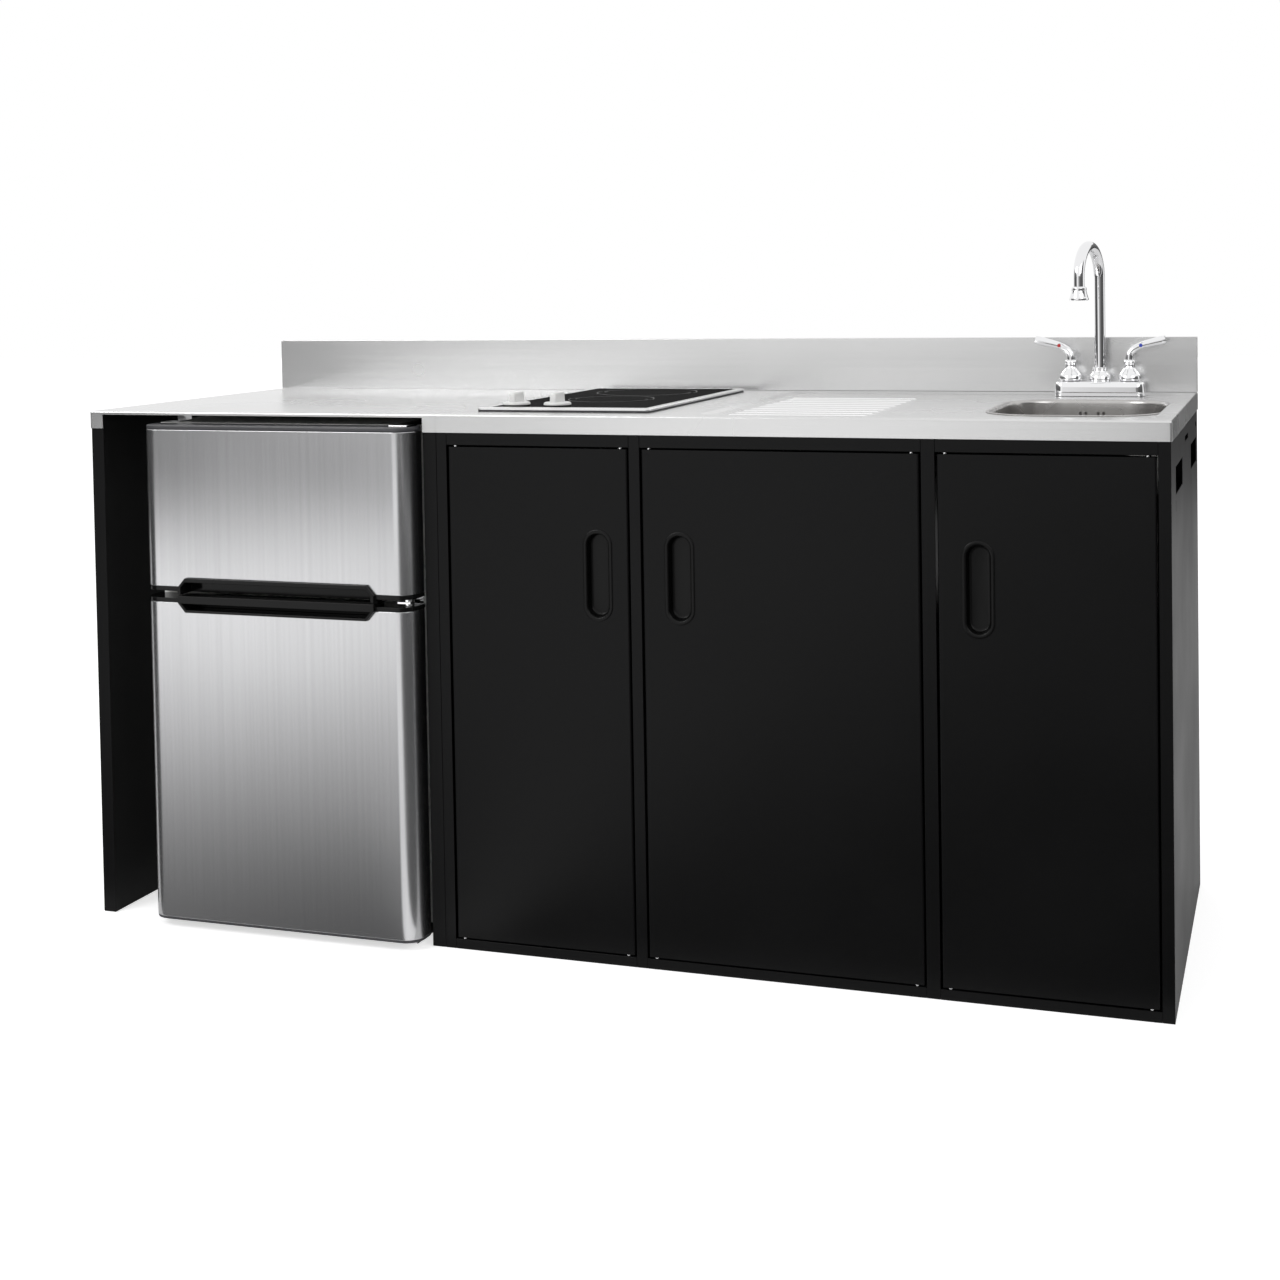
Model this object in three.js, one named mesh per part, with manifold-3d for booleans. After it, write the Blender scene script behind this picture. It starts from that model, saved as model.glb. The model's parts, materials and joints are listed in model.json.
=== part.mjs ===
// All-in-one kitchenette: fridge bay with a two-door fridge, three steel cabinets, a stainless
// worktop with a pressed drainer and sink, a two-zone glass hob and a gooseneck faucet.
// Millimetres, +Z up. The unit frame used below has x = 0 at the left end, y = 0 at the front
// of the worktop apron and z = 0 on the floor; the exported group centres it on the footprint.
import * as THREE from "three";
import { mergeVertices } from "three/addons/utils/BufferGeometryUtils.js";
import Module from "manifold-3d";

const wasm = await Module();
wasm.setup();

// ---------------------------------------------------------------- driving dimensions
const UNIT_WIDTH = 1829;
const UNIT_DEPTH = 635;
const WORKTOP_HEIGHT = 876;
const SEAT = 0.3; // gap between pieces that touch
const SHEET = 1.5; // cabinet sheet metal

// worktops and backsplash
const WORKTOP_SHEET = 1.5;
const APRON_DROP = 30;
const FRIDGE_LIP_DROP = 6; // the apron is cut away to this over the fridge
const BACKSPLASH_HEIGHT = 98;
const BACKSPLASH_THICKNESS = 12;
const RECESS_DEPTH = 4; // pressed sink and drainer area
const RECESS_LEFT = 1097;
const RECESS_FRONT = 40;
const RECESS_BACK_MARGIN = 21;
const RECESS_RIGHT_MARGIN = 26;
const RECESS_CORNER = 25;

// drainer ridges
const RIDGE_COUNT = 10;
const RIDGE_LENGTH = 234;
const RIDGE_WIDTH = 14;
const RIDGE_HEIGHT = 3;
const RIDGE_PITCH = 42;
const RIDGES_LEFT = 1132;
const RIDGES_FRONT = 80;

// carcass
const BAY_WIDTH = 662; // left end to the first cabinet
const LEG = 24; // front edge of the bay panels
const CABINET_ONE_WIDTH = 352;
const CENTRE_WIDTH = 448;
const STILE = 18;
const CABINET_THREE_STILE = 21;
const BOTTOM_RAIL = 16;
const DOOR_HEAD = 826; // underside of the top rails
const TOP_RAIL_DEPTH = 20;
const FLOOR_LIP = 25;
const BAY_RAIL_HEIGHT = 100;
const BAY_RAIL_DEPTH = 20;

// slots pressed out of the right side panel: distance from the front, height, size
const GRIP_SLOTS = [
  { y: 168, z: 779 },
  { y: 526, z: 779 },
];
const GRIP_SLOT_WIDTH = 150;
const GRIP_SLOT_HEIGHT = 42;
const TOP_SLOTS = [
  { y: 345, z: 822, width: 80 },
  { y: 600, z: 822, width: 30 },
];
const TOP_SLOT_HEIGHT = 9;
const SLIT_WIDTH = 3;
const SLIT_HEIGHT = 17;
const SLIT_BELOW_GRIP = 8;

// service opening in the rear panel, behind the sink
const SERVICE_WIDTH = 180;
const SERVICE_HEIGHT = 130;

// cabinet doors
const DOOR_GAP = 3;
const DOOR_THICKNESS = 20;
const DOOR_EDGE_RADIUS = 3;
const PIVOT_INSET = 12;
const PIN_RADIUS = 4;
const PIN_REACH = 9; // how far a pin stands past the door
const PIN_CLEARANCE = 0.6;
const PIN_COLLAR_RADIUS = 7;
const CUP_WIDTH = 49;
const CUP_HEIGHT = 146;
const CUP_RIM = 6;
const CUP_RIM_THICKNESS = 1;
const CUP_DEPTH = 15;
const CUP_CENTRE_Z = 622;
const CUP_INSET_DOOR_ONE = 52; // free edge of the door to the middle of the cup
const CUP_INSET = 61;

// hob
const HOB_WIDTH = 305;
const HOB_DEPTH = 520;
const HOB_LEFT = 705;
const HOB_FRONT = 62;
const HOB_FRAME_HEIGHT = 6;
const HOB_FRAME_SIDE = 16;
const HOB_FRAME_FRONT = 28;
const HOB_FRAME_BACK = 12;
const HOB_CORNER = 6;
const GLASS_THICKNESS = 4;
const GLASS_LEDGE = 5;
const HOB_TRAY_INSET = 16;
const HOB_TRAY_DEPTH = 50;
const HOB_CUTOUT_CLEARANCE = 2;
const REAR_ZONE_RADIUS = 92;
const FRONT_ZONE_RADIUS = 75;
const REAR_ZONE_Y = 403; // from the front of the hob
const FRONT_ZONE_Y = 223;
const ELEMENT_HEIGHT = 18;
const KNOB_ROW_Y = 68;
const LEFT_KNOB_X = 43;
const RIGHT_KNOB_X = 117;
const KNOB_FLANGE_RADIUS = 23;
const KNOB_FLANGE_HEIGHT = 5;
const KNOB_HEIGHT = 21;
const KNOB_GRIP_WIDTH = 12;
const SHAFT_RADIUS = 3.5;

// sink bowl, measured inside at the rim
const SINK_CENTRE_X = 1665;
const SINK_CENTRE_Y = 288;
const BOWL_WIDTH = 264;
const BOWL_LENGTH = 336;
const BOWL_CORNER = 85;
const BOWL_DEPTH = 144;
const BOWL_TAPER = 4;
const BOWL_WALL = 1.5;
const BOWL_FLANGE = 12;
const BOWL_FOOT_RADIUS = 25;
const DRAIN_RADIUS = 46;
const OVERFLOW_SLOTS_X = [-19.5, -10.5, 10.5, 19.5];
const OVERFLOW_SLOT_WIDTH = 4;
const OVERFLOW_SLOT_HEIGHT = 22;
const OVERFLOW_TOP = 19; // below the rim
const STRAINER_DEPTH = 45;
const TAILPIECE_RADIUS = 18;
const TAILPIECE_LENGTH = 95;
const TRAP_BEND_RADIUS = 42;
const TRAP_DROP = 70;

// faucet
const FAUCET_Y = 582;
const FAUCET_BASE_LENGTH = 156;
const FAUCET_BASE_WIDTH = 50;
const FAUCET_BASE_HEIGHT = 26;
const HANDLE_SPACING = 102;
const SPOUT_RADIUS = 9.5;
const SPOUT_BORE = 7.5;
const SPOUT_REACH = 110;
const SPOUT_RISE = 262.5; // centre line of the arch above the deck
const SPOUT_END = 182; // end of the tube above the deck
const SPOUT_HEADING = 12; // degrees to the left of straight ahead, at rest
const AERATOR_DROP = 12;
const AERATOR_RADIUS = 16.5;
const COLLAR_HEIGHT = 24;
const SPOUT_SEAT = 4; // bottom of the spout socket above the base
const POST_RADIUS = 6;
const POST_HEIGHT = 20;
const SHANK_RADIUS = 6.5;
const SHANK_LENGTH = 45;
const SHANK_HOLE = 8;
const NUT_RADIUS = 18;
const NUT_HEIGHT = 8;
const LEVER_REACH = 62;
const LEVER_RISE = 101; // tip above the deck

// fridge
const FRIDGE_LEFT = 126;
const FRIDGE_WIDTH = 505;
const FRIDGE_TOP = 856;
const FRIDGE_CABINET_FRONT = 24;
const FRIDGE_CABINET_BACK = 560;
const FRIDGE_CABINET_BOTTOM = 30;
const FRIDGE_DOOR_FRONT = -38;
const FRIDGE_DOOR_THICKNESS = 50;
const FRIDGE_DOOR_BOTTOM = 14;
const FRIDGE_DOOR_RADIUS = 30;
const DOOR_SKIN = 1.2;
const DOOR_SPLIT = 570;
const SPLIT_HALF_GAP = 6;
const END_CAP = 7; // black end cap along the split
const HANDLE_LEFT = 79;
const HANDLE_RIGHT = 434;
const HANDLE_HALF_HEIGHT = 29;
const HANDLE_GAP = 1;
const HANDLE_PROUD = 6;
const HANDLE_BLOCK_DEPTH = 36;
const HANDLE_WALL = 6;
const HANDLE_CHAMFER = 14; // slope of the grip's ends, from the end cap to full height
const HANDLE_LIP = 8; // front to back thickness of the lip that the fingers pull on
// Finger pockets, as distances from the split: the mouth at the front and the room behind it.
const FREEZER_POCKET = { mouth: [0, 22], room: [0, 25] };
const CHILLER_POCKET = { mouth: [14, 25], room: [4, 25] };
const FRIDGE_PIVOT_INSET = 15;
const FRIDGE_PIVOT_Y = -15;
const FRIDGE_PIN_RADIUS = 4.5;
const FRIDGE_PIN_REACH = 20;
const HINGE_PLATE = 3;
const GASKET_INSET = 12;
const GASKET_WIDTH = 14;
const GASKET_COMPRESSION_GAP = 0.8;
const FREEZER_FLOOR = 606;
const FREEZER_CEILING = 818;
const CHILLER_FLOOR = 70;
const CHILLER_CEILING = 530;
const LINER_SIDE = 36;
const CHILLER_BACK = 515;
const FREEZER_BACK = 500;
const NICHE_FRONT = 400;
const NICHE_TOP = 190;
const NICHE_WALL = 35;
const CABINET_SKIN = 2; // the walls are hollow, as insulated walls are
const SHELF_Z = 324;
const SHELF_THICKNESS = 4;
const LEDGE = 6;
const CRISPER_HEIGHT = 134;
const FOOT_RADIUS = 17;

const ROUND = 24; // segments of a large round
const SMALL_ROUND = 12; // segments of a small round

// ---------------------------------------------------------------- derived planes
const CARCASS_INSET = WORKTOP_SHEET + SEAT;
const CARCASS_FRONT = CARCASS_INSET;
const CARCASS_BACK = UNIT_DEPTH - SHEET - SEAT;
const CARCASS_RIGHT = UNIT_WIDTH - CARCASS_INSET;
const PANEL_TOP = WORKTOP_HEIGHT - WORKTOP_SHEET - SEAT;
const DECK = WORKTOP_HEIGHT - RECESS_DEPTH;
const RECESS_PANEL_TOP = DECK - WORKTOP_SHEET - SEAT;
const CABINET_ONE_LEFT = BAY_WIDTH;
const CENTRE_LEFT = CABINET_ONE_LEFT + CABINET_ONE_WIDTH;
const CABINET_THREE_LEFT = CENTRE_LEFT + CENTRE_WIDTH;
const HINGE_Y = CARCASS_FRONT + DOOR_THICKNESS / 2;
const OUTERMOST_FRONT = FRIDGE_DOOR_FRONT - HANDLE_PROUD;

// ---------------------------------------------------------------- materials
const material = (color, metalness, roughness) =>
  new THREE.MeshStandardMaterial({ color, metalness, roughness });
const STEEL = material(0xc9cacb, 1, 0.35);
const BLACK_STEEL = material(0x141415, 0.3, 0.45);
const CHROME = material(0xe6e7e8, 1, 0.08);
const BLACK_GLASS = material(0x0a0a0b, 0, 0.05);
const BLACK_PLASTIC = material(0x101011, 0, 0.35);
const WHITE_PLASTIC = material(0xe9e9e6, 0, 0.4);
const CLEAR_GLASS = material(0xcfe0dc, 0, 0.05);
const SILVER_PLASTIC = material(0xd8d8d6, 0.2, 0.35);
const CERAMIC_FIBRE = material(0xd9d3c4, 0, 0.9);
const RUBBER = material(0x2a2a2c, 0, 0.8);

// ---------------------------------------------------------------- solids
// A closed geometry as a solid, turned outside out if its faces point inwards.
function solidOf(geometry) {
  const bare = geometry.index ? geometry.toNonIndexed() : geometry.clone();
  bare.deleteAttribute("normal");
  bare.deleteAttribute("uv");
  const merged = mergeVertices(bare, 1e-4);
  const triangles = [];
  const index = merged.index.array;
  for (let i = 0; i < index.length; i += 3) {
    const [a, b, c] = [index[i], index[i + 1], index[i + 2]];
    if (a !== b && b !== c && c !== a) triangles.push(a, b, c);
  }
  const build = (triVerts) =>
    new wasm.Manifold(
      new wasm.Mesh({
        numProp: 3,
        vertProperties: merged.attributes.position.array,
        triVerts: new Uint32Array(triVerts),
      }),
    );
  const made = build(triangles);
  return made.volume() < 0 ? build(triangles.reverse()) : made;
}

function geometryOf(solid) {
  const mesh = solid.getMesh();
  const geometry = new THREE.BufferGeometry();
  geometry.setAttribute("position", new THREE.BufferAttribute(mesh.vertProperties, 3));
  geometry.setIndex(new THREE.BufferAttribute(mesh.triVerts, 1));
  return geometry;
}

const union = (...solids) => solids.reduce((sum, next) => sum.add(next));
const cut = (solid, ...tools) => tools.reduce((rest, tool) => rest.subtract(tool), solid);

// A box between two corners.
function block([x0, x1], [y0, y1], [z0, z1]) {
  const geometry = new THREE.BoxGeometry(x1 - x0, y1 - y0, z1 - z0);
  geometry.translate((x0 + x1) / 2, (y0 + y1) / 2, (z0 + z1) / 2);
  return solidOf(geometry);
}

// A folded sheet tray: a box with one open side, such as "+x" or "-z".
function tray(xs, ys, zs, wall, open) {
  const inner = [xs, ys, zs].map(([low, high]) => [low + wall, high - wall]);
  const axis = "xyz".indexOf(open[1]);
  const past = 2 * wall;
  if (open[0] === "+") inner[axis][1] += past;
  else inner[axis][0] -= past;
  return cut(block(xs, ys, zs), block(...inner));
}

// An outline in x and y carried along z.
function prismZ(shape, [z0, z1], curveSegments = 3) {
  const options = { depth: z1 - z0, bevelEnabled: false, curveSegments };
  return solidOf(new THREE.ExtrudeGeometry(shape, options).translate(0, 0, z0));
}

// An outline in x and z carried along y.
function prismY(shape, [y0, y1], curveSegments = 3) {
  const options = { depth: y1 - y0, bevelEnabled: false, curveSegments };
  const geometry = new THREE.ExtrudeGeometry(shape, options);
  return solidOf(geometry.rotateX(Math.PI / 2).translate(0, y1, 0));
}

// An outline of [y, z] points carried along x.
function prismX(points, [x0, x1]) {
  const shape = new THREE.Shape(points.map(([y, z]) => new THREE.Vector2(y, z)));
  const geometry = new THREE.ExtrudeGeometry(shape, { depth: x1 - x0, bevelEnabled: false });
  const turn = new THREE.Matrix4().makeBasis(
    new THREE.Vector3(0, 1, 0),
    new THREE.Vector3(0, 0, 1),
    new THREE.Vector3(1, 0, 0),
  );
  return solidOf(geometry.applyMatrix4(turn).translate(x0, 0, 0));
}

// A profile of [radius, z] points turned round the z axis through (x, y).
function turned(profile, segments = ROUND, [x, y] = [0, 0]) {
  const points = profile.map(([r, z]) => new THREE.Vector2(r, z));
  const geometry = new THREE.LatheGeometry(points, segments);
  return solidOf(geometry.rotateX(Math.PI / 2).translate(x, y, 0));
}

const rod = (radius, [z0, z1], at, segments = SMALL_ROUND) =>
  turned([[0, z0], [radius, z0], [radius, z1], [0, z1]], segments, at);

// A closed ring profile turned round the z axis.
const ring = (profile, segments, at) => turned([...profile, profile[0]], segments, at);

// A round or hollow tube along a curve.
function tube(path, outer, bore, steps, sides) {
  const circle = (radius, Form) => {
    const form = new Form();
    form.absarc(0, 0, radius, 0, 2 * Math.PI, false);
    return form;
  };
  const section = circle(outer, THREE.Shape);
  if (bore) section.holes.push(circle(bore, THREE.Path));
  const options = { steps, extrudePath: path, curveSegments: sides, bevelEnabled: false };
  return solidOf(new THREE.ExtrudeGeometry(section, options));
}

// A rectangle with round corners, centred on (x, y).
function roundedRectangle(width, height, radius, x = 0, y = 0) {
  const [w, h] = [width / 2, height / 2];
  const shape = new THREE.Shape();
  shape.moveTo(x - w + radius, y - h);
  shape.absarc(x + w - radius, y - h + radius, radius, -Math.PI / 2, 0, false);
  shape.absarc(x + w - radius, y + h - radius, radius, 0, Math.PI / 2, false);
  shape.absarc(x - w + radius, y + h - radius, radius, Math.PI / 2, Math.PI, false);
  shape.absarc(x - w + radius, y - h + radius, radius, Math.PI, 1.5 * Math.PI, false);
  return shape;
}

// A closed loop of points of a rounded rectangle at height z.
function loop({ width, height, radius, z }, cornerSteps = 6) {
  const points = [];
  for (let corner = 0; corner < 4; corner += 1) {
    const sideX = corner === 0 || corner === 3 ? 1 : -1;
    const sideY = corner < 2 ? 1 : -1;
    for (let step = 0; step <= cornerSteps; step += 1) {
      const angle = (corner + step / cornerSteps) * (Math.PI / 2);
      points.push([
        sideX * (width / 2 - radius) + radius * Math.cos(angle),
        sideY * (height / 2 - radius) + radius * Math.sin(angle),
        z,
      ]);
    }
  }
  return points;
}

// A skin through a list of loops: closed on itself, or with flat ends.
function loft(loops, closed) {
  const count = loops[0].length;
  const positions = loops.flat(2);
  const triangles = [];
  const last = closed ? loops.length : loops.length - 1;
  for (let k = 0; k < last; k += 1) {
    const [low, high] = [k * count, ((k + 1) % loops.length) * count];
    for (let i = 0; i < count; i += 1) {
      const j = (i + 1) % count;
      triangles.push(low + i, low + j, high + j, low + i, high + j, high + i);
    }
  }
  if (!closed) {
    const top = (loops.length - 1) * count;
    for (let i = 1; i < count - 1; i += 1) {
      triangles.push(0, i + 1, i, top, top + i, top + i + 1);
    }
  }
  const geometry = new THREE.BufferGeometry();
  geometry.setAttribute("position", new THREE.Float32BufferAttribute(positions, 3));
  geometry.setIndex(triangles);
  return solidOf(geometry);
}

// ---------------------------------------------------------------- scene graph
const unit = new THREE.Group();
unit.position.set(-UNIT_WIDTH / 2, -(OUTERMOST_FRONT + UNIT_DEPTH) / 2, 0);

function group(parent, x, y, z, turn = 0) {
  const made = new THREE.Group();
  made.position.set(x, y, z);
  made.rotation.z = THREE.MathUtils.degToRad(turn);
  parent.add(made);
  return made;
}

function piece(parent, name, solid, surface) {
  const mesh = new THREE.Mesh(geometryOf(solid), surface);
  mesh.name = name;
  parent.add(mesh);
}

// ---------------------------------------------------------------- worktops
function makeWorktops() {
  const back = CARCASS_BACK;
  const sheet = [WORKTOP_HEIGHT - WORKTOP_SHEET, WORKTOP_HEIGHT];
  const apron = [WORKTOP_HEIGHT - APRON_DROP, WORKTOP_HEIGHT];
  const lip = [WORKTOP_HEIGHT - FRIDGE_LIP_DROP, WORKTOP_HEIGHT];
  const front = [0, WORKTOP_SHEET];

  const leftEnd = BAY_WIDTH - SEAT;
  const left = union(
    block([0, leftEnd], [0, back], sheet),
    block([0, leftEnd], front, lip),
    block([0, CARCASS_INSET + LEG], front, apron),
    block([BAY_WIDTH - LEG, leftEnd], front, apron),
    block([0, WORKTOP_SHEET], [0, back], apron),
  );
  piece(unit, "left_worktop", left, STEEL);

  const recessRight = UNIT_WIDTH - RECESS_RIGHT_MARGIN;
  const recessBack = UNIT_DEPTH - RECESS_BACK_MARGIN;
  const recess = (grow) =>
    roundedRectangle(
      recessRight - RECESS_LEFT + 2 * grow,
      recessBack - RECESS_FRONT + 2 * grow,
      RECESS_CORNER + grow,
      (RECESS_LEFT + recessRight) / 2,
      (RECESS_FRONT + recessBack) / 2,
    );
  const flat = union(
    block([BAY_WIDTH, UNIT_WIDTH], [0, back], sheet),
    block([BAY_WIDTH, UNIT_WIDTH], front, apron),
    block([UNIT_WIDTH - WORKTOP_SHEET, UNIT_WIDTH], [0, back], apron),
    prismZ(recess(WORKTOP_SHEET), [DECK - WORKTOP_SHEET, WORKTOP_HEIGHT]),
  );
  const pressed = cut(flat, prismZ(recess(0), [DECK, WORKTOP_HEIGHT + 1]));
  const ridges = Array.from({ length: RIDGE_COUNT }, (_, i) => {
    const y = RIDGES_FRONT + i * RIDGE_PITCH;
    const section = [
      [y - RIDGE_WIDTH / 2, DECK - WORKTOP_SHEET / 2],
      [y + RIDGE_WIDTH / 2, DECK - WORKTOP_SHEET / 2],
      [y + RIDGE_WIDTH / 4, DECK + RIDGE_HEIGHT],
      [y - RIDGE_WIDTH / 4, DECK + RIDGE_HEIGHT],
    ];
    return prismX(section, [RIDGES_LEFT, RIDGES_LEFT + RIDGE_LENGTH]);
  });
  const through = [DECK - 10, WORKTOP_HEIGHT + 10];
  const inset = HOB_TRAY_INSET - HOB_CUTOUT_CLEARANCE;
  const hobHole = block(
    [HOB_LEFT + inset, HOB_LEFT + HOB_WIDTH - inset],
    [HOB_FRONT + inset, HOB_FRONT + HOB_DEPTH - inset],
    through,
  );
  const bowlHole = prismZ(
    roundedRectangle(BOWL_WIDTH, BOWL_LENGTH, BOWL_CORNER, SINK_CENTRE_X, SINK_CENTRE_Y),
    through,
  );
  const shankHoles = [-1, 1].map((side) =>
    rod(SHANK_HOLE, through, [SINK_CENTRE_X + (side * HANDLE_SPACING) / 2, FAUCET_Y]),
  );
  const main = cut(union(pressed, ...ridges), hobHole, bowlHole, ...shankHoles);
  piece(unit, "main_worktop", main, STEEL);

  const backsplash = tray(
    [0, UNIT_WIDTH],
    [back - BACKSPLASH_THICKNESS, back],
    [WORKTOP_HEIGHT + SEAT, WORKTOP_HEIGHT + BACKSPLASH_HEIGHT],
    SHEET,
    "-z",
  );
  piece(unit, "backsplash", backsplash, STEEL);
}

// ---------------------------------------------------------------- fridge bay and cabinets
const DEPTH_RANGE = [CARCASS_FRONT, CARCASS_BACK];

function makeBay() {
  const inner = [CARCASS_INSET + LEG, BAY_WIDTH - LEG];
  const height = [0, PANEL_TOP];
  const left = tray([CARCASS_INSET, inner[0]], DEPTH_RANGE, height, SHEET, "-z");
  piece(unit, "left_side_panel", left, BLACK_STEEL);
  const right = tray([inner[1], BAY_WIDTH - SEAT], DEPTH_RANGE, height, SHEET, "+x");
  piece(unit, "bay_right_panel", right, BLACK_STEEL);
  const rail = tray(
    [inner[0] + SEAT, inner[1] - SEAT],
    [CARCASS_BACK - BAY_RAIL_DEPTH, CARCASS_BACK],
    [PANEL_TOP - BAY_RAIL_HEIGHT, PANEL_TOP],
    SHEET,
    "-y",
  );
  piece(unit, "bay_rear_rail", rail, BLACK_STEEL);
}

// The clear widths between the cabinet sides, from left to right.
const CABINETS = {
  cabinet_one: [CABINET_ONE_LEFT + STILE, CENTRE_LEFT - SEAT - STILE],
  centre: [CENTRE_LEFT - SEAT, CABINET_THREE_LEFT],
  cabinet_three: [CABINET_THREE_LEFT + CABINET_THREE_STILE, CARCASS_RIGHT - STILE],
};

// Where each door hangs: the clear width it fills and the side of its hinge.
const DOORS = [
  { name: "door_one", bay: CABINETS.cabinet_one, hinge: "left", cupInset: CUP_INSET_DOOR_ONE },
  { name: "door_two", bay: CABINETS.centre, hinge: "right", cupInset: CUP_INSET },
  { name: "door_three", bay: CABINETS.cabinet_three, hinge: "right", cupInset: CUP_INSET },
];

const pivotX = ({ bay, hinge }) =>
  hinge === "left" ? bay[0] + DOOR_GAP + PIVOT_INSET : bay[1] - DOOR_GAP - PIVOT_INSET;

// An obround cut-out through the right side panel, which spans the given heights.
function sideSlot(y, z, width, height) {
  const past = 2;
  const [y0, y1] = [y - width / 2, y + width / 2];
  return block([CARCASS_RIGHT - SHEET - past, CARCASS_RIGHT + past], [y0, y1], [
    z - height / 2,
    z + height / 2,
  ]);
}

function makeSides() {
  const { cabinet_one: one, cabinet_three: three } = CABINETS;
  const height = [0, PANEL_TOP];
  piece(
    unit,
    "cabinet_one_left_side",
    tray([CABINET_ONE_LEFT, one[0]], DEPTH_RANGE, height, SHEET, "+x"),
    BLACK_STEEL,
  );
  piece(
    unit,
    "cabinet_one_right_side",
    tray([one[1], CENTRE_LEFT - SEAT], DEPTH_RANGE, height, SHEET, "-x"),
    BLACK_STEEL,
  );
  const lower = [0, RECESS_PANEL_TOP];
  piece(
    unit,
    "cabinet_three_left_side",
    tray([CABINET_THREE_LEFT, three[0]], DEPTH_RANGE, lower, SHEET, "+x"),
    BLACK_STEEL,
  );
  const slots = [
    ...GRIP_SLOTS.map(({ y, z }) => sideSlot(y, z, GRIP_SLOT_WIDTH, GRIP_SLOT_HEIGHT)),
    ...TOP_SLOTS.map(({ y, z, width }) => sideSlot(y, z, width, TOP_SLOT_HEIGHT)),
    ...GRIP_SLOTS.map(({ y, z }) =>
      sideSlot(
        y - GRIP_SLOT_WIDTH / 2 + SLIT_WIDTH,
        z - GRIP_SLOT_HEIGHT / 2 - SLIT_BELOW_GRIP - SLIT_HEIGHT / 2,
        SLIT_WIDTH,
        SLIT_HEIGHT,
      ),
    ),
  ];
  const right = tray([three[1], CARCASS_RIGHT], DEPTH_RANGE, height, SHEET, "-x");
  piece(unit, "right_side_panel", cut(right, ...slots), BLACK_STEEL);
}

function makeFloorsAndRails() {
  for (const [name, [left, right]] of Object.entries(CABINETS)) {
    const door = DOORS.find(({ bay }) => bay[0] === left);
    const width = [left + SEAT, right - SEAT];
    const bore = [pivotX(door), HINGE_Y];
    const pan = block(width, DEPTH_RANGE, [0, BOTTOM_RAIL]);
    const hollow = block(
      [width[0] + SHEET, width[1] - SHEET],
      [DEPTH_RANGE[0] + SHEET, DEPTH_RANGE[1] - SHEET],
      [SHEET, BOTTOM_RAIL - SHEET],
    );
    const mouth = block(
      [width[0] + FLOOR_LIP, width[1] - FLOOR_LIP],
      [DEPTH_RANGE[0] + FLOOR_LIP, DEPTH_RANGE[1] - FLOOR_LIP],
      [-SHEET, 2 * SHEET],
    );
    const lowerHole = rod(PIN_RADIUS + PIN_CLEARANCE, [2 * SHEET, BOTTOM_RAIL + 1], bore);
    piece(unit, name + "_floor", cut(pan, hollow, mouth, lowerHole), BLACK_STEEL);

    const rail = tray(
      width,
      [CARCASS_FRONT, CARCASS_FRONT + TOP_RAIL_DEPTH],
      [DOOR_HEAD, PANEL_TOP],
      SHEET,
      "+y",
    );
    const upperHole = rod(PIN_RADIUS + PIN_CLEARANCE, [DOOR_HEAD - 1, DOOR_HEAD + 3], bore);
    piece(unit, name + "_top_rail", cut(rail, upperHole), BLACK_STEEL);
  }
}

function makeRearPanel() {
  const panel = block([CABINET_ONE_LEFT, CARCASS_RIGHT], [UNIT_DEPTH - SHEET, UNIT_DEPTH], [
    0,
    PANEL_TOP,
  ]);
  const outletZ = DECK + trapOutletZ();
  const opening = block(
    [SINK_CENTRE_X - SERVICE_WIDTH / 2, SINK_CENTRE_X + SERVICE_WIDTH / 2],
    [UNIT_DEPTH - 2 * SHEET, UNIT_DEPTH + SHEET],
    [outletZ - SERVICE_HEIGHT / 2, outletZ + SERVICE_HEIGHT / 2],
  );
  piece(unit, "rear_panel", cut(panel, opening), BLACK_STEEL);
}

// ---------------------------------------------------------------- cabinet doors
function obround(width, height, x, y) {
  return roundedRectangle(width, height, width / 2 - 0.01, x, y);
}

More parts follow.
